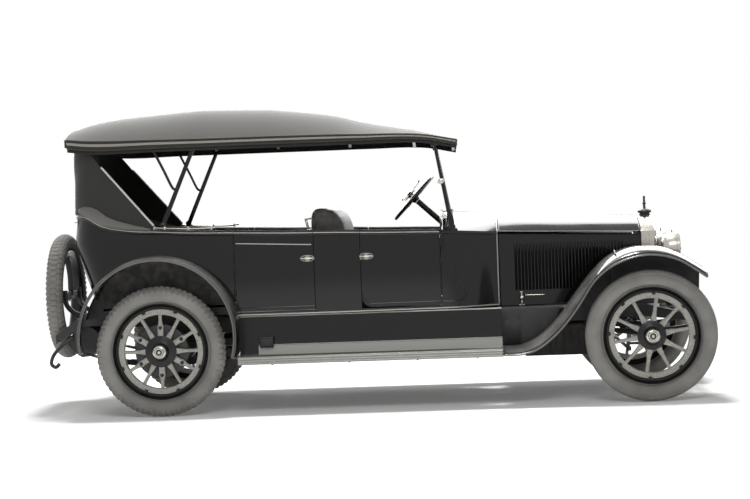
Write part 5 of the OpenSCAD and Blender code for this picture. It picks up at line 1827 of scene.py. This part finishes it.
        # finish 1: the belt roll's light grey is a painted highlight
        forms.append(sweep(path, ring_profile(0.023, 14, 1.35), scale=0.2 + back[keep], finish=1))
        near = points[(np.abs(ring[:, 1]) <= 0.2601) & (ring[:, 2] < -0.9)]
        bx = float(near[..., 0].mean())
        frame_path = [(bx, -0.26, 1.64), (bx, 0.26, 1.64), (bx, 0.26, 1.85), (bx, -0.26, 1.85)]
        lean_x = near[:, :, 0][0]
        zs = near[:, :, 2][0]
        corners = np.array([(np.interp(p[2], zs, lean_x), p[1], p[2]) for p in frame_path])
        s = np.linspace(0, 1, 12, endpoint=False)[:, None]
        loop = np.concatenate([a + (b - a) * s for a, b in zip(corners, np.roll(corners, -1, 0))])
        forms.append(sweep(loop, bar_profile(0.014, 0.024, 0.004), ref=(1, 0, 0), closed=True, finish=3))
        pane = np.array([[corners[0], corners[1]], [corners[3], corners[2]]])
        forms.append(shell(pane + [0.002, 0, 0], pane, 4))
        rows = points[::3]
        studs = rows[:, 1] + 0.0
        normal = ring[::3, 2:]
        forms += [dome(0.006, 0.004, 3, 10).stood(p + [0, 0, 0.012], (n[0], n[1], 0)) for p,
                  n in zip(studs, normal)]
        for side in Side:
            post_x, post_y = -2.118, -0.500
            post = tube([(post_x, post_y, 1.255), (post_x + 0.004, post_y, 1.565)], 0.009, 10, 5)
            knob = lathe([(0, -0.016), (0.011, -0.012), (0.016, 0), (0.011, 0.012), (0, 0.016)], 16, 3)
            forms += [post.on(side), knob.moved((post_x + 0.004, post_y, 1.572)).on(side)]
            pin = tube([(post_x - 0.03, post_y, 1.398), (post_x + 0.035, post_y, 1.398)], 0.006, 8, 3)
            forms += [pin.on(side), knob.moved((post_x, post_y, 1.448)).on(side)]
        return piece("curtain_piping", forms, [CLOTH, ROLL_HIGHLIGHT, PIPING, NICKEL,
                                               GLASS, UNDER], CAR, sharp=50)

    def frame(self) -> None:
        """Bent ash bows under the deck and the side irons with their elbows, pivots and knobs."""
        bows, irons = [], []
        for x in self.bows:
            line = self.row(np.array([x]), 0.034)[0][5:-5]
            line[:, 1] *= 0.985
            bows.append(sweep(line - [0, 0, 0.006], bar_profile(0.036, 0.026, 0.007), ref=(1, 0, 0)))
        bar = bar_profile(0.030, 0.010, 0.003)
        thin = bar_profile(0.019, 0.009, 0.003)
        for side in Side:
            main = bent([(-1.490, -0.611, 1.345), (-1.37, -0.611, 1.62), (-1.245, -0.611, 1.905)], 8)
            irons.append(sweep(main, bar, ref=(0, 1, 0), scale=np.linspace(1.1, 0.95, len(main))).on(side))
            brace = bent([(-1.372, -0.600, 1.612), (-1.395, -0.600, 1.608), (-1.418, -0.600, 1.635),
                          (-1.47, -0.600, 1.75), (-1.545, -0.600, 1.905)], 8)
            irons.append(sweep(brace, thin, ref=(0, 1, 0)).on(side))
            for at, r in (((-1.490, -0.611, 1.350), 0.022), ((-1.372, -0.607, 1.614), 0.013),
                          ((-1.247, -0.611, 1.895), 0.016), ((-1.543, -0.600, 1.895), 0.012)):
                boss = lathe([(0, -0.009), (r, -0.009), (r, 0.007), (r * 0.55, 0.012), (0, 0.013)], 18)
                irons.append(boss.stood(at, (0, -1, 0)).on(side))
            rest = bent([(-1.56, -0.640, 1.338), (-1.40, -0.645, 1.328), (-1.20, -0.645, 1.322),
                         (-1.10, -0.645, 1.330)], 8)
            irons.append(sweep(rest, ring_profile(0.0065, 8), finish=1).on(side))
            for x, z in ((-1.545, 1.334), (-1.47, 1.332), (-1.30, 1.325), (-1.135, 1.326)):
                irons.append(lathe([(0, 0), (0.009, 0), (0.009, 0.020), (0.006, 0.026), (0, 0.028)], 14,
                                   1).stood((x, -0.645, z - 0.014)).on(side))
        piece("top_bow_timbers", bows, [ASH], CAR, ["top_bows"], sharp=40)
        piece("top_side_irons", irons, [BLACK, NICKEL], CAR, sharp=40)


@dataclass
class Windshield:
    """Two-pane windshield between leaning stanchions, with its clamps and knobs."""

    foot: tuple = (0.572, 1.268)
    lean: float = math.radians(10)
    half: float = 0.575
    low: float = 0.128
    mid: float = 0.335
    high: float = 0.612

    def tilt(self) -> np.ndarray:
        """Matrix from the screen's own plane, z up along the lean, to the car."""
        m = np.eye(4)
        c, s = math.cos(self.lean), math.sin(self.lean)
        m[:3, :3] = [[c, 0, -s], [0, 1, 0], [s, 0, c]]
        m[:3, 3] = (self.foot[0], 0, self.foot[1])
        return m

    def build(self) -> None:
        """Stanchions, pane frames, glass."""
        m, h = self.tilt(), self.half
        posts, frames, panes = [], [], []
        for side in Side:
            z = np.array([-0.030, 0.02, 0.06, 0.12, 0.30, 0.45, self.high - 0.012])
            path = xyz(np.zeros(7), -h + 0.012, z)
            post = sweep(path, bar_profile(0.024, 0.030, 0.008), ref=(1, 0, 0),
                         scale=np.array([1.35, 1.3, 1.15, 1.0, 0.92, 0.82, 0.74]))
            posts.append(post.turned(m).on(side))
            bracket = bent([(-0.055, -h + 0.008, -0.022), (-0.02, -h + 0.006, -0.010),
                            (0.015, -h + 0.006, 0.03), (0.002, -h + 0.008, 0.15)], 6)
            posts.append(sweep(bracket, bar_profile(0.018, 0.022, 0.005), ref=(0, 1, 0)).turned(m).on(side))
            posts.append(rounded_box((-0.070, -h - 0.006, -0.038), (0.035, -h + 0.030, -0.014),
                                     0.006).turned(m).on(side))
            posts.append(rounded_box((-0.045, -h - 0.004, -0.014), (0.026, -h + 0.026, 0.016),
                                     0.008).turned(m).on(side))
            for kx, kz, r in ((-0.040, 0.088, 0.016), (-0.008, self.mid, 0.019)):
                knob = lathe([(0, -0.004), (r * 0.6, -0.004), (r * 0.6, 0.008), (r, 0.010), (r * 1.08, 0.017),
                              (r, 0.024), (r * 0.4, 0.030), (0, 0.031)], 20, 1)
                posts.append(knob.stood((kx, -h + 0.004, kz), (0, -1, 0)).turned(m).on(side))
                posts.append(tube([(kx - 0.028, -h - 0.008, kz), (kx + 0.022, -h - 0.008, kz)], 0.006, 8,
                                  1).turned(m).on(side))
            cap = rounded_box((-0.028, -h - 0.002, self.high - 0.022), (0.020, -h + 0.026, self.high + 0.002),
                              0.006)
            posts.append(cap.turned(m).on(side))
        for z0, z1 in ((self.low, self.mid - 0.006), (self.mid + 0.006, self.high - 0.004)):
            y = h - 0.030
            corners = np.array([(0, -y, z0 + 0.011), (0, y, z0 + 0.011), (0, y, z1 - 0.011),
                                (0, -y, z1 - 0.011)])
            s = np.linspace(0, 1, 10, endpoint=False)[:, None]
            loop = np.concatenate([a + (b - a) * s for a, b in zip(corners, np.roll(corners, -1, 0))])
            frames.append(sweep(loop, bar_profile(0.018, 0.018, 0.005), ref=(1, 0, 0), closed=True).turned(m))
            pane = np.array([[corners[0], corners[1]], [corners[3], corners[2]]]) + [0.003, 0, 0]
            panes.append(shell(pane, pane - [0.006, 0, 0]).turned(m))
        y = np.linspace(-h + 0.02, h - 0.02, 30)
        sill = xyz(self.foot[0] + 0.005, y,
                   LINES.crown(np.full(30, self.foot[0] + 0.005), np.abs(y) / 0.59) + 0.006)
        frames.append(sweep(sill, ring_profile(0.010, 10), ref=(1, 0, 0), finish=2))
        piece("windshield_stanchions", posts, [BLACK, NICKEL], CAR, sharp=40)
        piece("windshield_bars", frames, [NICKEL, BLACK, STRIP], CAR,
              ["windshield_frame"], sharp=40)
        piece("windshield_panes", panes, [GLASS], CAR, ["windshield_glass"])


@dataclass
class Seat:
    """A bench seat in pleated hide: a crowned cushion and a back, on a trimmed frame."""

    name: str
    half: float
    cushion: tuple
    back: tuple
    node: str
    pleat: float = 0.07

    def pad(self, path: np.ndarray, thickness: np.ndarray, half: float) -> Form:
        """A pad carried across the car: its side outline follows a path, swelling in pleats.

        The outline is a closed loop of x and z. Across y every pleat is a circle's arc: the face lifts by
        the pleat's height times the root of one less the square of the place within the pleat. At both
        ends the loop draws in towards its middle as a quarter circle.
        """
        count = int(round(2 * half / self.pleat))
        within = np.array([-0.98, -0.8, -0.45, 0, 0.45, 0.8, 0.98])
        y = ((np.arange(count)[:, None] + 0.5 + within[None, :] / 2) / count * 2 - 1).ravel() * half
        lift = np.tile(0.016 * np.sqrt(1 - within**2), count)
        near = np.clip((half - np.abs(y)) / 0.045, 0, 1)
        shrink = 0.045 * (1 - np.sqrt(1 - (1 - near) ** 2))
        middle = path.mean(axis=0)
        out = path - middle
        closed = np.concatenate([path[-1:], path, path[:1]])
        t = (closed[2:] - closed[:-2])
        n = np.stack([t[:, 1], -t[:, 0]], -1)
        n /= np.linalg.norm(n, axis=1, keepdims=True)
        n *= np.sign((n * out).sum(axis=1, keepdims=True).mean())
        offset = thickness[None, :] * lift[:, None] - shrink[:, None]
        rings = path[None] + n[None] * offset[..., None]
        points = xyz(rings[..., 0], y[:, None], rings[..., 1])
        ends = [np.repeat(points[e].mean(axis=0)[None, None], len(path), 1) for e in (0, -1)]
        return grid(np.concatenate([ends[0], points, ends[1]]), wrap_columns=True, flip=False)

    @staticmethod
    def outline(points: Sequence[Sequence[float]]) -> np.ndarray:
        """Closed smooth outline through x, z points."""
        p = np.asarray(points, float)
        p = xyz(p[:, 0], 0 * p[:, 0], p[:, 1])
        wrapped = np.concatenate([p[-1:], p, p[:2]])
        curve = bent(wrapped, 5)
        return curve[5:-6][:, [0, 2]]

    def build(self) -> None:
        """Cushion and back."""
        for part, spec in (("cushion", self.cushion), ("back", self.back)):
            path = self.outline(spec)
            centre = path.mean(axis=0)
            rise = path - centre
            face = rise[:, 1] > 0 if part == "cushion" else rise[:, 0] - 0.2 * rise[:, 1] > -0.01
            weight = np.where(face, 1.0, 0.12)
            weight = (np.roll(weight, 1) + weight + np.roll(weight, -1)) / 3
            form = self.pad(path, weight, self.half)
            volume = float(np.einsum("ij,ij->i", form.points[form.quads[:, 0]], np.cross(
                form.points[form.quads[:, 1]], form.points[form.quads[:, 2]])).sum())
            if volume < 0:
                form = Form(form.points, form.quads[:, ::-1])
            replaced = [self.node] if part == "cushion" else []
            pad = piece(f"{self.name}_{part}", [form], [LEATHER], CAR, replaced, sharp=75)


@dataclass
class Cabin:
    """Seats, their frames, the robe rail and the side aprons of the seats."""

    def build(self) -> None:
        """Everything one sits on or holds."""
        Seat("front_seat", 0.555,
             ((-0.215, 0.93), (-0.205, 1.015), (-0.10, 1.045), (0.10, 1.050), (0.225, 1.045), (0.258, 1.005),
              (0.245, 0.93), (0.0, 0.915)),
             ((-0.405, 1.02), (-0.425, 1.20), (-0.430, 1.36), (-0.410, 1.418), (-0.365, 1.432),
              (-0.315, 1.424),
              (-0.270, 1.390), (-0.220, 1.320), (-0.190, 1.16), (-0.175, 1.035), (-0.28, 1.0)),
              "front_seat").build()
        Seat("rear_seat", 0.528,
             ((-1.86, 0.95), (-1.85, 1.045), (-1.70, 1.075), (-1.50, 1.082), (-1.395, 1.070), (-1.362, 1.025),
              (-1.375, 0.95), (-1.6, 0.93)),
             ((-1.990, 1.02), (-2.018, 1.20), (-2.034, 1.37), (-2.018, 1.420), (-1.985, 1.433),
              (-1.940, 1.40),
              (-1.900, 1.28), (-1.868, 1.14), (-1.850, 1.05), (-1.93, 1.0)), "rear_seat").build()
        frames = [rounded_box((-0.425, -0.56, 0.718), (0.235, 0.56, 0.925), 0.012),
                  rounded_box((-0.43, -0.562, 0.90), (-0.400, 0.562, 1.36), 0.014),
                  rounded_box((-1.930, -0.526, 0.774), (-1.385, 0.526, 0.945), 0.012)]
        rail = bent([(-0.452, -0.50, 1.27), (-0.470, -0.50, 1.345), (-0.472, -0.46, 1.362),
                     (-0.472, 0, 1.362),
                     (-0.472, 0.46, 1.362), (-0.470, 0.50, 1.345), (-0.452, 0.50, 1.27)], 8)
        frames.append(tube(rail, 0.009, 10, 1, ref=(1, 0, 0)))
        for y in (-0.50, 0.50):
            frames.append(rounded_box((-0.468, y - 0.014, 1.225), (-0.428, y + 0.014, 1.290), 0.005, 1))
        for y in (-0.28, 0.28):
            foot = bent([(-0.62, y, 0.775), (-0.60, y, 0.88), (-0.52, y, 0.90)], 6)
            frames.append(tube(foot, 0.009, 8, 1, ref=(0, 1, 0)))
        frames.append(tube([(-0.615, -0.36, 0.885), (-0.615, 0.36, 0.885)], 0.014, 10, 1))
        piece("seat_frames_and_rail", frames, [TRIM, NICKEL], CAR, sharp=40)


# ---------------------------------------------------------------- steering and running gear


@dataclass
class Steering:
    """Steering wheel with its levers, and the column's trim."""

    hub: tuple = (0.288, 0.350, 1.485)
    slope: float = math.radians(43)
    rim: float = 0.209

    def build(self) -> None:
        """Wheel on its own body; the quadrant and levers at its hub stay on the car."""
        axis = (-math.cos(self.slope), 0, math.sin(self.slope))
        at = place(self.hub, axis)
        a = np.linspace(0, 2 * math.pi, 121)[:-1]
        ring = xyz(self.rim * np.cos(a), self.rim * np.sin(a), 0 * a)
        grip = 1 + 0.05 * np.cos(a * 40)
        rim = sweep(ring, ring_profile(0.0122, 14), ref=UP, closed=True, scale=grip)
        forms = [rim]
        arm = bent([(0.030, 0, -0.004), (0.09, 0, -0.010), (0.15, 0, -0.006), (0.203, 0, 0)], 6)
        spoke = sweep(arm, bar_profile(0.019, 0.010, 0.0035), ref=UP, scale=np.linspace(1.25, 0.85, 19),
                      finish=1)
        forms.append(copies(spoke, round_z(4, math.pi / 4)))
        forms.append(lathe([(0, -0.034), (0.024, -0.034), (0.030, -0.020), (0.036, -0.012), (0.036, 0.004),
                            (0.030, 0.010), (0.024, 0.018), (0, 0.020)], 32, 1))
        piece("steering_wheel_rim", [f.turned(at) for f in forms], [WALNUT, UNDER], "steering_wheel",
              ["steering_wheel"], sharp=40)
        quadrant = [
            lathe([(0, 0.021), (0.026, 0.021), (0.026, 0.030), (0.058, 0.032), (0.062, 0.036), (0.058, 0.040),
                   (0.026, 0.042), (0.022, 0.052), (0.012, 0.060), (0, 0.062)], 32),
            tube([(0.02, 0.0, 0.047), (0.10, 0.035, 0.052), (0.118, 0.040, 0.056)], 0.0045, 8),
            tube([(0.0, 0.02, 0.047), (-0.06, 0.085, 0.052), (-0.068, 0.096, 0.056)], 0.0045, 8),
            dome(0.009, 0.012, 1).moved((0.118, 0.040, 0.052)),
            dome(0.009, 0.012, 1).moved((-0.068, 0.096, 0.052))]
        piece("control_quadrant", [f.turned(at) for f in quadrant], [NICKEL, UNDER], CAR, sharp=40)


@dataclass
class RunningGear:
    """What dresses the chassis: spring leaves, clips, shackles, hooks, dumb irons, crank, brake rods."""

    # springs: centre x, y, half length, eye base z, rise of the ends, thickness, number of leaves
    springs: tuple = ((1.939, 0.355, 0.440, 0.440, 0.070, 0.046, 7),
                      (-1.515, 0.500, 0.640, 0.330, 0.130, 0.060, 9))

    def leaves(self) -> list[Form]:
        """Each spring's leaves: arcs of one parabola, every leaf shorter than the one over it."""
        forms = []
        for cx, y, half, z0, rise, thick, count in self.springs:
            step = thick / count
            for i in range(count):
                reach = half * (1 - 0.085 * (count - 1 - i)) if cx > 0 else half * (1 - 0.085 * i)
                t = np.linspace(-1, 1, 25)
                x = t * reach
                base = z0 + rise * (x / half) ** 2
                lift = (i + 0.5) * step * (1 - 0.55 * np.abs(x / half))
                path = xyz(cx + x, -y, base + lift + 0.004)
                forms.append(sweep(path, bar_profile(0.052, step * 0.9 * 0.75, 0.0015)))
            for dx in (-0.05, 0.05):
                for dy in (-0.033, 0.033):
                    forms.append(tube([(cx + dx, -y + dy, z0 - 0.018),
                                       (cx + dx, -y + dy, z0 + thick + 0.030)], 0.007, 8))
                forms.append(rounded_box((cx + dx - 0.012, -y - 0.036, z0 + thick + 0.012),
                                         (cx + dx + 0.012, -y + 0.036, z0 + thick + 0.024), 0.004))
            forms.append(rounded_box((cx - 0.075, -y - 0.040, z0 - 0.012),
                                     (cx + 0.075, -y + 0.040, z0 - 0.002), 0.003))
            for end in (-1, 1):
                ex = cx + end * half * 0.985
                ez = z0 + rise + 0.014
                forms.append(tube([(ex, -y - 0.038, ez), (ex, -y + 0.038, ez)], 0.015, 12))
                forms.append(bolts_at([(ex, -y - 0.038, ez)], (0, -1, 0), 0.011, 0.008))
        return forms

    def build(self) -> None:
        """Springs, hooks, rods and small iron."""
        leaf = [f.on(side) for side in Side for f in self.leaves()]
        piece("spring_leaves", leaf, [UNDER], CAR, ["leaf_springs"], sharp=38)
        forms = []
        for side in Side:
            hook = bent([(-2.20, -0.47, 0.565), (-2.29, -0.47, 0.50), (-2.345, -0.47, 0.44),
                         (-2.365, -0.47, 0.38), (-2.335, -0.47, 0.352), (-2.305, -0.47, 0.375)], 6)
            forms.append(sweep(hook, ring_profile(0.013, 10), ref=(0, 1, 0)).on(side))
            strap = bent([(-2.14, -0.50, 0.70), (-2.16, -0.50, 0.60), (-2.15, -0.50, 0.50)], 6)
            forms.append(sweep(strap, bar_profile(0.036, 0.016), ref=(0, 1, 0)).on(side))
            horn = bent([(2.27, -0.352, 0.535), (2.30, -0.352, 0.52), (2.335, -0.352, 0.510)], 5)
            forms.append(sweep(horn, ring_profile(0.020, 12), ref=(0, 1, 0)).on(side))
            forms.append(tube([(-0.95, -0.33, 0.52), (-1.40, -0.50, 0.50)], 0.006, 8).on(side))
            forms.append(tube([(0.50, -0.33, 0.56), (-0.95, -0.33, 0.52)], 0.006, 8).on(side))
            rivets = [(x, -(0.430 - 0.078 * (x + 2.33) / 4.66) - 0.022, z)
                      for x in np.arange(-1.0, 1.6, 0.13) for z in (0.585, 0.665)]
            forms.append(copies(dome(0.007, 0.004, count=8),
                                np.stack([place(p, (0, -1, 0)) for p in rivets])).on(side))
        tie = tube([(2.275, -0.345, 0.548), (2.275, 0.345, 0.548)], 0.017, 14)
        crank = bent([(1.98, 0, 0.585), (2.20, 0, 0.585), (2.275, 0, 0.585)], 5)
        forms += [tie, tube(crank, 0.012, 12)]
        forms.append(rounded_box((-0.93, -0.30, 0.375), (-0.16, -0.17, 0.49), 0.05, 1))
        for x in (-0.86, -0.55, -0.24):
            forms.append(lathe([(0.083, -0.012), (0.089, -0.012), (0.089, 0.012), (0.083, 0.012)], 32, 1,
                               loop=True).stood((x, -0.235, 0.430), (1, 0, 0)))
        for y in (-0.30, 0.30):
            strap_ring = lathe([(0.110, -0.016), (0.1145, -0.016), (0.1145, 0.016), (0.110, 0.016)], 40,
                               loop=True)
            forms.append(strap_ring.stood((-2.125, y, 0.525), (0, 1, 0)))
        forms.append(lathe([(0, 0), (0.032, 0), (0.032, 0.018), (0.026, 0.024), (0, 0.026)], 24,
                           2).stood((-2.165, 0.22, 0.628), (-0.3, 0, 1)))
        fins = np.tile(np.eye(4), (9, 1, 1))
        fins[:, 0, 3] = np.linspace(1.10, 1.52, 9)
        forms.append(copies(rounded_box((-0.006, -0.130, 0.30), (0.006, 0.130, 0.46), 0.003, 1), fins))
        piece("chassis_fittings", forms, [UNDER, RUSTED, NICKEL], CAR, sharp=40)


KEPT = {
    "frame_rails": UNDER, "cross_members": UNDER, "engine_block": IRON, "exhaust": RUSTED, "fuel_tank": UNDER,
    "front_axle": UNDER,
    "rear_axle": UNDER, "steering_column": UNDER, "knuckle_left": UNDER, "knuckle_right": UNDER,
    "tie_rod": UNDER, "drag_link": UNDER, "pitman_arm": UNDER,}


def dress_kept() -> None:
    """Gives the carried-over nodes their finishes."""
    for name, finish in KEPT.items():
        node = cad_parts[name]
        node.data.materials.clear()
        node.data.materials.append(finish.material())
        LOG.info("%s: %s", name, finish.name)


# ---------------------------------------------------------------- studio


@dataclass(frozen=True)
class Lamp:
    """One rectangular soft light; with shine_only it shows in reflections and lights nothing else."""

    name: str
    at: tuple
    aim: tuple
    size: tuple
    power: float
    shine_only: bool = False

    def build(self) -> None:
        """Hangs the light, hidden from the camera."""
        data = bpy.data.lights.new(self.name, "AREA")
        data.shape, data.size, data.size_y, data.energy = "RECTANGLE", *self.size, self.power
        obj = bpy.data.objects.new(self.name, data)
        bpy.context.scene.collection.objects.link(obj)
        obj.location = self.at
        obj.rotation_euler = (Vector(self.aim) - Vector(self.at)).to_track_quat("-Z", "Y").to_euler()
        obj.visible_camera = False
        obj.visible_diffuse = not self.shine_only


@dataclass
class Studio:
    """White paper ground, soft overhead light and a long-lens camera."""

    eye: tuple = (0.607, -12.95, 1.471)
    yaw: float = math.radians(-2.72)
    pitch: float = math.radians(-1.59)
    roll: float = math.radians(2.12)
    lens: float = 83.57
    world_light: float = 0.26
    lamps: tuple = (
        Lamp("key", (-0.2, 0.8, 12.0), (0.0, 0.0, 0.8), (3.0, 2.2), 1850),
        Lamp("front_bank", (0.6, -8.5, 7.5), (0.0, 0.0, 0.9), (5.0, 2.5), 240),
        Lamp("rear_bank", (-5.5, 5.0, 5.0), (-0.5, 0.0, 1.0), (4.0, 3.0), 120),
        Lamp("sky_sheen", (0.0, 7.5, 6.5), (0.0, 0.0, 1.2), (16.0, 7.0), 3000, shine_only=True))

    def camera(self) -> None:
        """Camera looking along forward, turned about it by the roll."""
        cy, sy, cp, sp = math.cos(self.yaw), math.sin(self.yaw), math.cos(self.pitch), math.sin(self.pitch)
        forward = Vector((sy * cp, cy * cp, sp))
        right = Vector((cy, -sy, 0))
        up = right.cross(forward)
        cr, sr = math.cos(self.roll), math.sin(self.roll)
        data = bpy.data.cameras.new("view")
        data.sensor_width, data.lens = 36.0, self.lens
        data.clip_start, data.clip_end = 0.1, 200
        obj = bpy.data.objects.new("view", data)
        bpy.context.scene.collection.objects.link(obj)
        axes = (right * cr - up * sr, up * cr + right * sr, -forward)
        turn = Matrix([[a[i] for a in axes] for i in range(3)]).to_4x4()
        obj.matrix_world = Matrix.Translation(Vector(self.eye)) @ turn
        bpy.context.scene.camera = obj

    def world(self) -> None:
        """Even pale world: white to the eye and in reflections, softer as light."""
        world = bpy.data.worlds.new("studio")
        bpy.context.scene.world = world
        world.use_nodes = True
        tree = world.node_tree
        back = tree.nodes["Background"]
        seen = to_eye(tree)
        strength = ramp(tree, seen, 0.0, 1.0, self.world_light, 1.0)
        tree.links.new(strength, back.inputs["Strength"])
        back.inputs["Color"].default_value = linear("#ffffff")

    def ground(self) -> None:
        """Pale paper floor, far larger than the car."""
        steps = np.linspace(-40, 40, 41)
        x, y = np.meshgrid(steps, steps, indexing="ij")
        form = grid(xyz(x, y, 0 * x - 0.0005))
        mesh = bpy.data.meshes.new("paper_ground")
        mesh.from_pydata(form.points, [], form.quads)
        mesh.shade_smooth()
        obj = bpy.data.objects.new("paper_ground", mesh)
        bpy.context.scene.collection.objects.link(obj)
        mesh.materials.append(PAPER.material())

    def build(self) -> None:
        """Camera, lights, world and ground."""
        self.camera()
        self.world()
        self.ground()
        for lamp in self.lamps:
            lamp.build()
        view = bpy.context.scene.view_settings
        view.view_transform = "Standard"


def main() -> None:
    """Builds the studio and then every sub-assembly in order."""
    logging.basicConfig(level=logging.INFO, format="%(name)s %(message)s")
    Studio().build()
    Body().tub()
    for which, edges, rounded, handle, hinge_end in (
            ("rear", (-0.9755, -0.4145), False, (-0.457, 1.085), 0),
            ("front", (-0.0805, 0.4805), True, (-0.040, 1.085), 1)):
        for side in Side:
            Door(which, edges, rounded, handle, hinge_end).build(side)
    Cowl().build()
    hood = Hood()
    for side in Side:
        hood.top(side)
        hood.side(side)
    Radiator().build()
    Lamps().build()
    Fenders().build()
    Boards().build()
    RoadWheels().build()
    Spare().build()
    top = FoldingTop()
    top.frame()
    top.deck()
    top.curtains()
    Windshield().build()
    Cabin().build()
    Steering().build()
    RunningGear().build()
    dress_kept()


if __name__ == "__main__":
    main()
